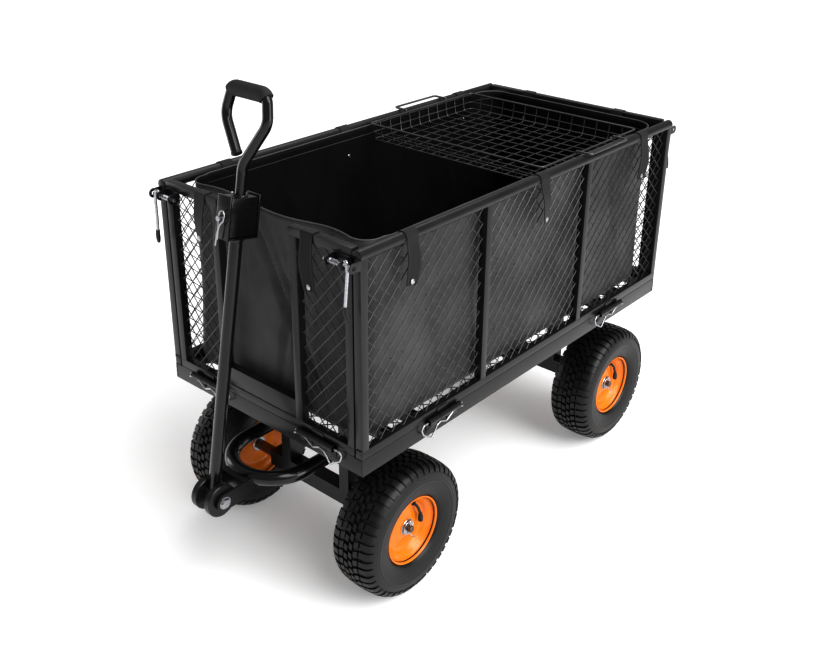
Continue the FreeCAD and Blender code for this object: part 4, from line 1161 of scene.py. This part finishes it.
def build_liner_studs():
    """Press studs on the liner's inside, one under each strap except at the sagging front."""
    shape = Shape()
    up = RAIL_TOP - 0.075
    for wall in ("left", "right", "rear"):
        out = outward(wall)
        flat = LINER_X if wall in SIDES else LINER_Y
        for spot in STRAPS[wall]:
            edge = wall_point(wall, spot * MM, flat, up)
            inset = wall_inset(edge.x, edge.y - MID_Y, height_share(up))
            shape.stud(edge - out * (inset + 2 * MM), -out, 5 * MM)
    shape.make("liner_press_studs", [ZINC], CHASSIS, (), "bright_steel")


# ---- tray

TRAY_PITCH = 40 * MM
TRAY_WIRE = 1.25 * MM
TRAY_RIM = 2.6 * MM
TRAY_LEAN = 7 * MM
TRAY_BEND = 10 * MM


def build_tray():
    """A basket of crossed wires with three hoops round it, and a bent hanger over each side rail."""
    shape = Shape()
    low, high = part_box("tray_floor")
    floor_up = low.z + 1.5 * MM
    top = RAIL_TOP - 3 * MM
    half = high.x - 1.5 * MM
    front, rear = low.y + 1.5 * MM, high.y - 1.5 * MM
    along = round(2 * half / TRAY_PITCH)
    for k in range(1, along):
        x = -half + 2 * half * k / along
        path = [(x, front, top), (x, front + TRAY_LEAN, floor_up),
                (x, rear - TRAY_LEAN, floor_up), (x, rear, top)]
        shape.tube(rounded(path, TRAY_BEND, 5), TRAY_WIRE, 8)
    across = round((rear - front) / TRAY_PITCH)
    up = floor_up + 2 * TRAY_WIRE
    for k in range(1, across):
        y = front + (rear - front) * k / across
        path = [(-half, y, top), (-half + TRAY_LEAN, y, up), (half - TRAY_LEAN, y, up), (half, y, top)]
        shape.tube(rounded(path, TRAY_BEND, 5), TRAY_WIRE, 8)
    hoops = [(0, top, TRAY_RIM), (TRAY_LEAN * 0.5, (top + floor_up) / 2, TRAY_WIRE),
             (TRAY_LEAN, floor_up + 5 * MM, 1.8 * MM)]
    for inset, up, thick in hoops:
        corners = [(-half + inset, front + inset), (half - inset, front + inset),
                   (half - inset, rear - inset), (-half + inset, rear - inset)]
        ring = []
        for i in range(4):
            before, corner, after = corners[i - 1], corners[i], corners[(i + 1) % 4]
            ring += rounded([(*before, up), (*corner, up), (*after, up)], 12 * MM, 6)[1:-1]
        shape.tube(ring, thick, 10, closed=True)
    start, end = MID_Y + 188 * MM, MID_Y + 360 * MM
    reach = BED_X + 6 * MM
    over = RAIL_TOP + 4.2 * MM
    for side in (-1, 1):
        path = [(half, start, top), (half + 1 * MM, start, over), (reach, start, over),
                (reach, end, over), (half + 1 * MM, end, over), (half, end, top)]
        path = [(side * x, y, z) for x, y, z in path]
        shape.tube(rounded(path, mm(2, 8, 8, 2), 6), 3 * MM, 14)
    shape.make("wire_tray", [TRAY_PAINT_AND_HIGHLIGHT], "tray", ["tray_floor", "tray_walls"], "wire_black")


# ---- camera, light and floor

CAMERA_PLACE = Vector((1.5163, MID_Y - 1.868, SKIRT_TOP + 1.2125))
CAMERA_RIGHT = Vector((0.75651, 0.65389, 0.01094))
CAMERA_UP = Vector((-0.27506, 0.30296, 0.91244))
LENS = 44.24
SENSOR_WIDE = 36
SHIFT_UP = -0.0793
WHITE = (1, 1, 1, 1)
FLOOR_REACH = 14


def build_camera():
    data = bpy.data.cameras.new("camera")
    data.sensor_width = SENSOR_WIDE
    data.lens = LENS
    data.shift_y = SHIFT_UP
    camera = link("camera", data)
    back = CAMERA_RIGHT.cross(CAMERA_UP)
    turn = Matrix((CAMERA_RIGHT, CAMERA_UP, back)).transposed().to_4x4()
    camera.matrix_world = Matrix.Translation(CAMERA_PLACE) @ turn
    bpy.context.scene.camera = camera


def area_light(name, spot, target, size, power):
    data = bpy.data.lights.new(name, "AREA")
    data.shape = "RECTANGLE"
    data.size, data.size_y = size
    data.energy = power
    lamp = link(name, data)
    lamp.location = spot
    lamp.rotation_euler = (Vector(target) - Vector(spot)).to_track_quat("-Z", "Y").to_euler()


def build_floor():
    data = bpy.data.meshes.new("floor")
    corners = [(x * FLOOR_REACH, y * FLOOR_REACH, 0) for x, y in ((-1, -1), (1, -1), (1, 1), (-1, 1))]
    data.from_pydata(corners, [], [(0, 1, 2, 3)])
    surface = Surface("pale_floor")
    surface.colour(surface.noise(0.6, 2), 0.3, (0.86, 0.86, 0.86), 0.7, (0.9, 0.9, 0.9))
    surface.set(Roughness=0.8, Emission_Color=WHITE, Emission_Strength=0.22)
    data.materials.append(surface.material)
    link("floor", data)


def build_lights():
    """A white surround, a broad sun and three soft panels; the middle of the cart is the target."""
    world = bpy.data.worlds.new("studio")
    world.use_nodes = True
    back = world.node_tree.nodes["Background"]
    back.inputs["Color"].default_value = WHITE
    back.inputs["Strength"].default_value = 0.42
    bpy.context.scene.world = world
    data = bpy.data.lights.new("soft_sun", "SUN")
    data.energy = 3.0
    data.angle = radians(50)
    sun = link("soft_sun", data)
    sun.rotation_euler = Vector((0.75, 0.05, 0.8)).to_track_quat("Z", "Y").to_euler()
    middle = (0, MID_Y, 0.6)
    area_light("side", (3.4, 0.2, 1.5), middle, (1.2, 2.6), 60)
    area_light("top", (-0.4, 1.2, 3.6), middle, (2.2, 2.2), 40)
    area_light("front", (-3.2, -1.5, 1.1), (0, -0.5, 0.7), (1.0, 1.6), 20)
    bpy.context.scene.view_settings.view_transform = "Standard"
    bpy.context.scene.view_settings.gamma = 0.79


build_camera()
build_floor()
build_lights()
finish_cad_nodes()
build_skirt()
build_hinges()
for wall in HINGE_SPOTS:
    build_panel_frame(wall)
    build_panel_mesh(wall)
build_deck_mesh()
for wall in ("front", "rear"):
    build_latch(wall, "left", 1)
    build_latch(wall, "right", -1)
build_wheels()
build_tow_frame()
build_pole()
build_handle()
build_hitch_pin()
build_liner()
build_liner_studs()
build_straps()
build_tray()
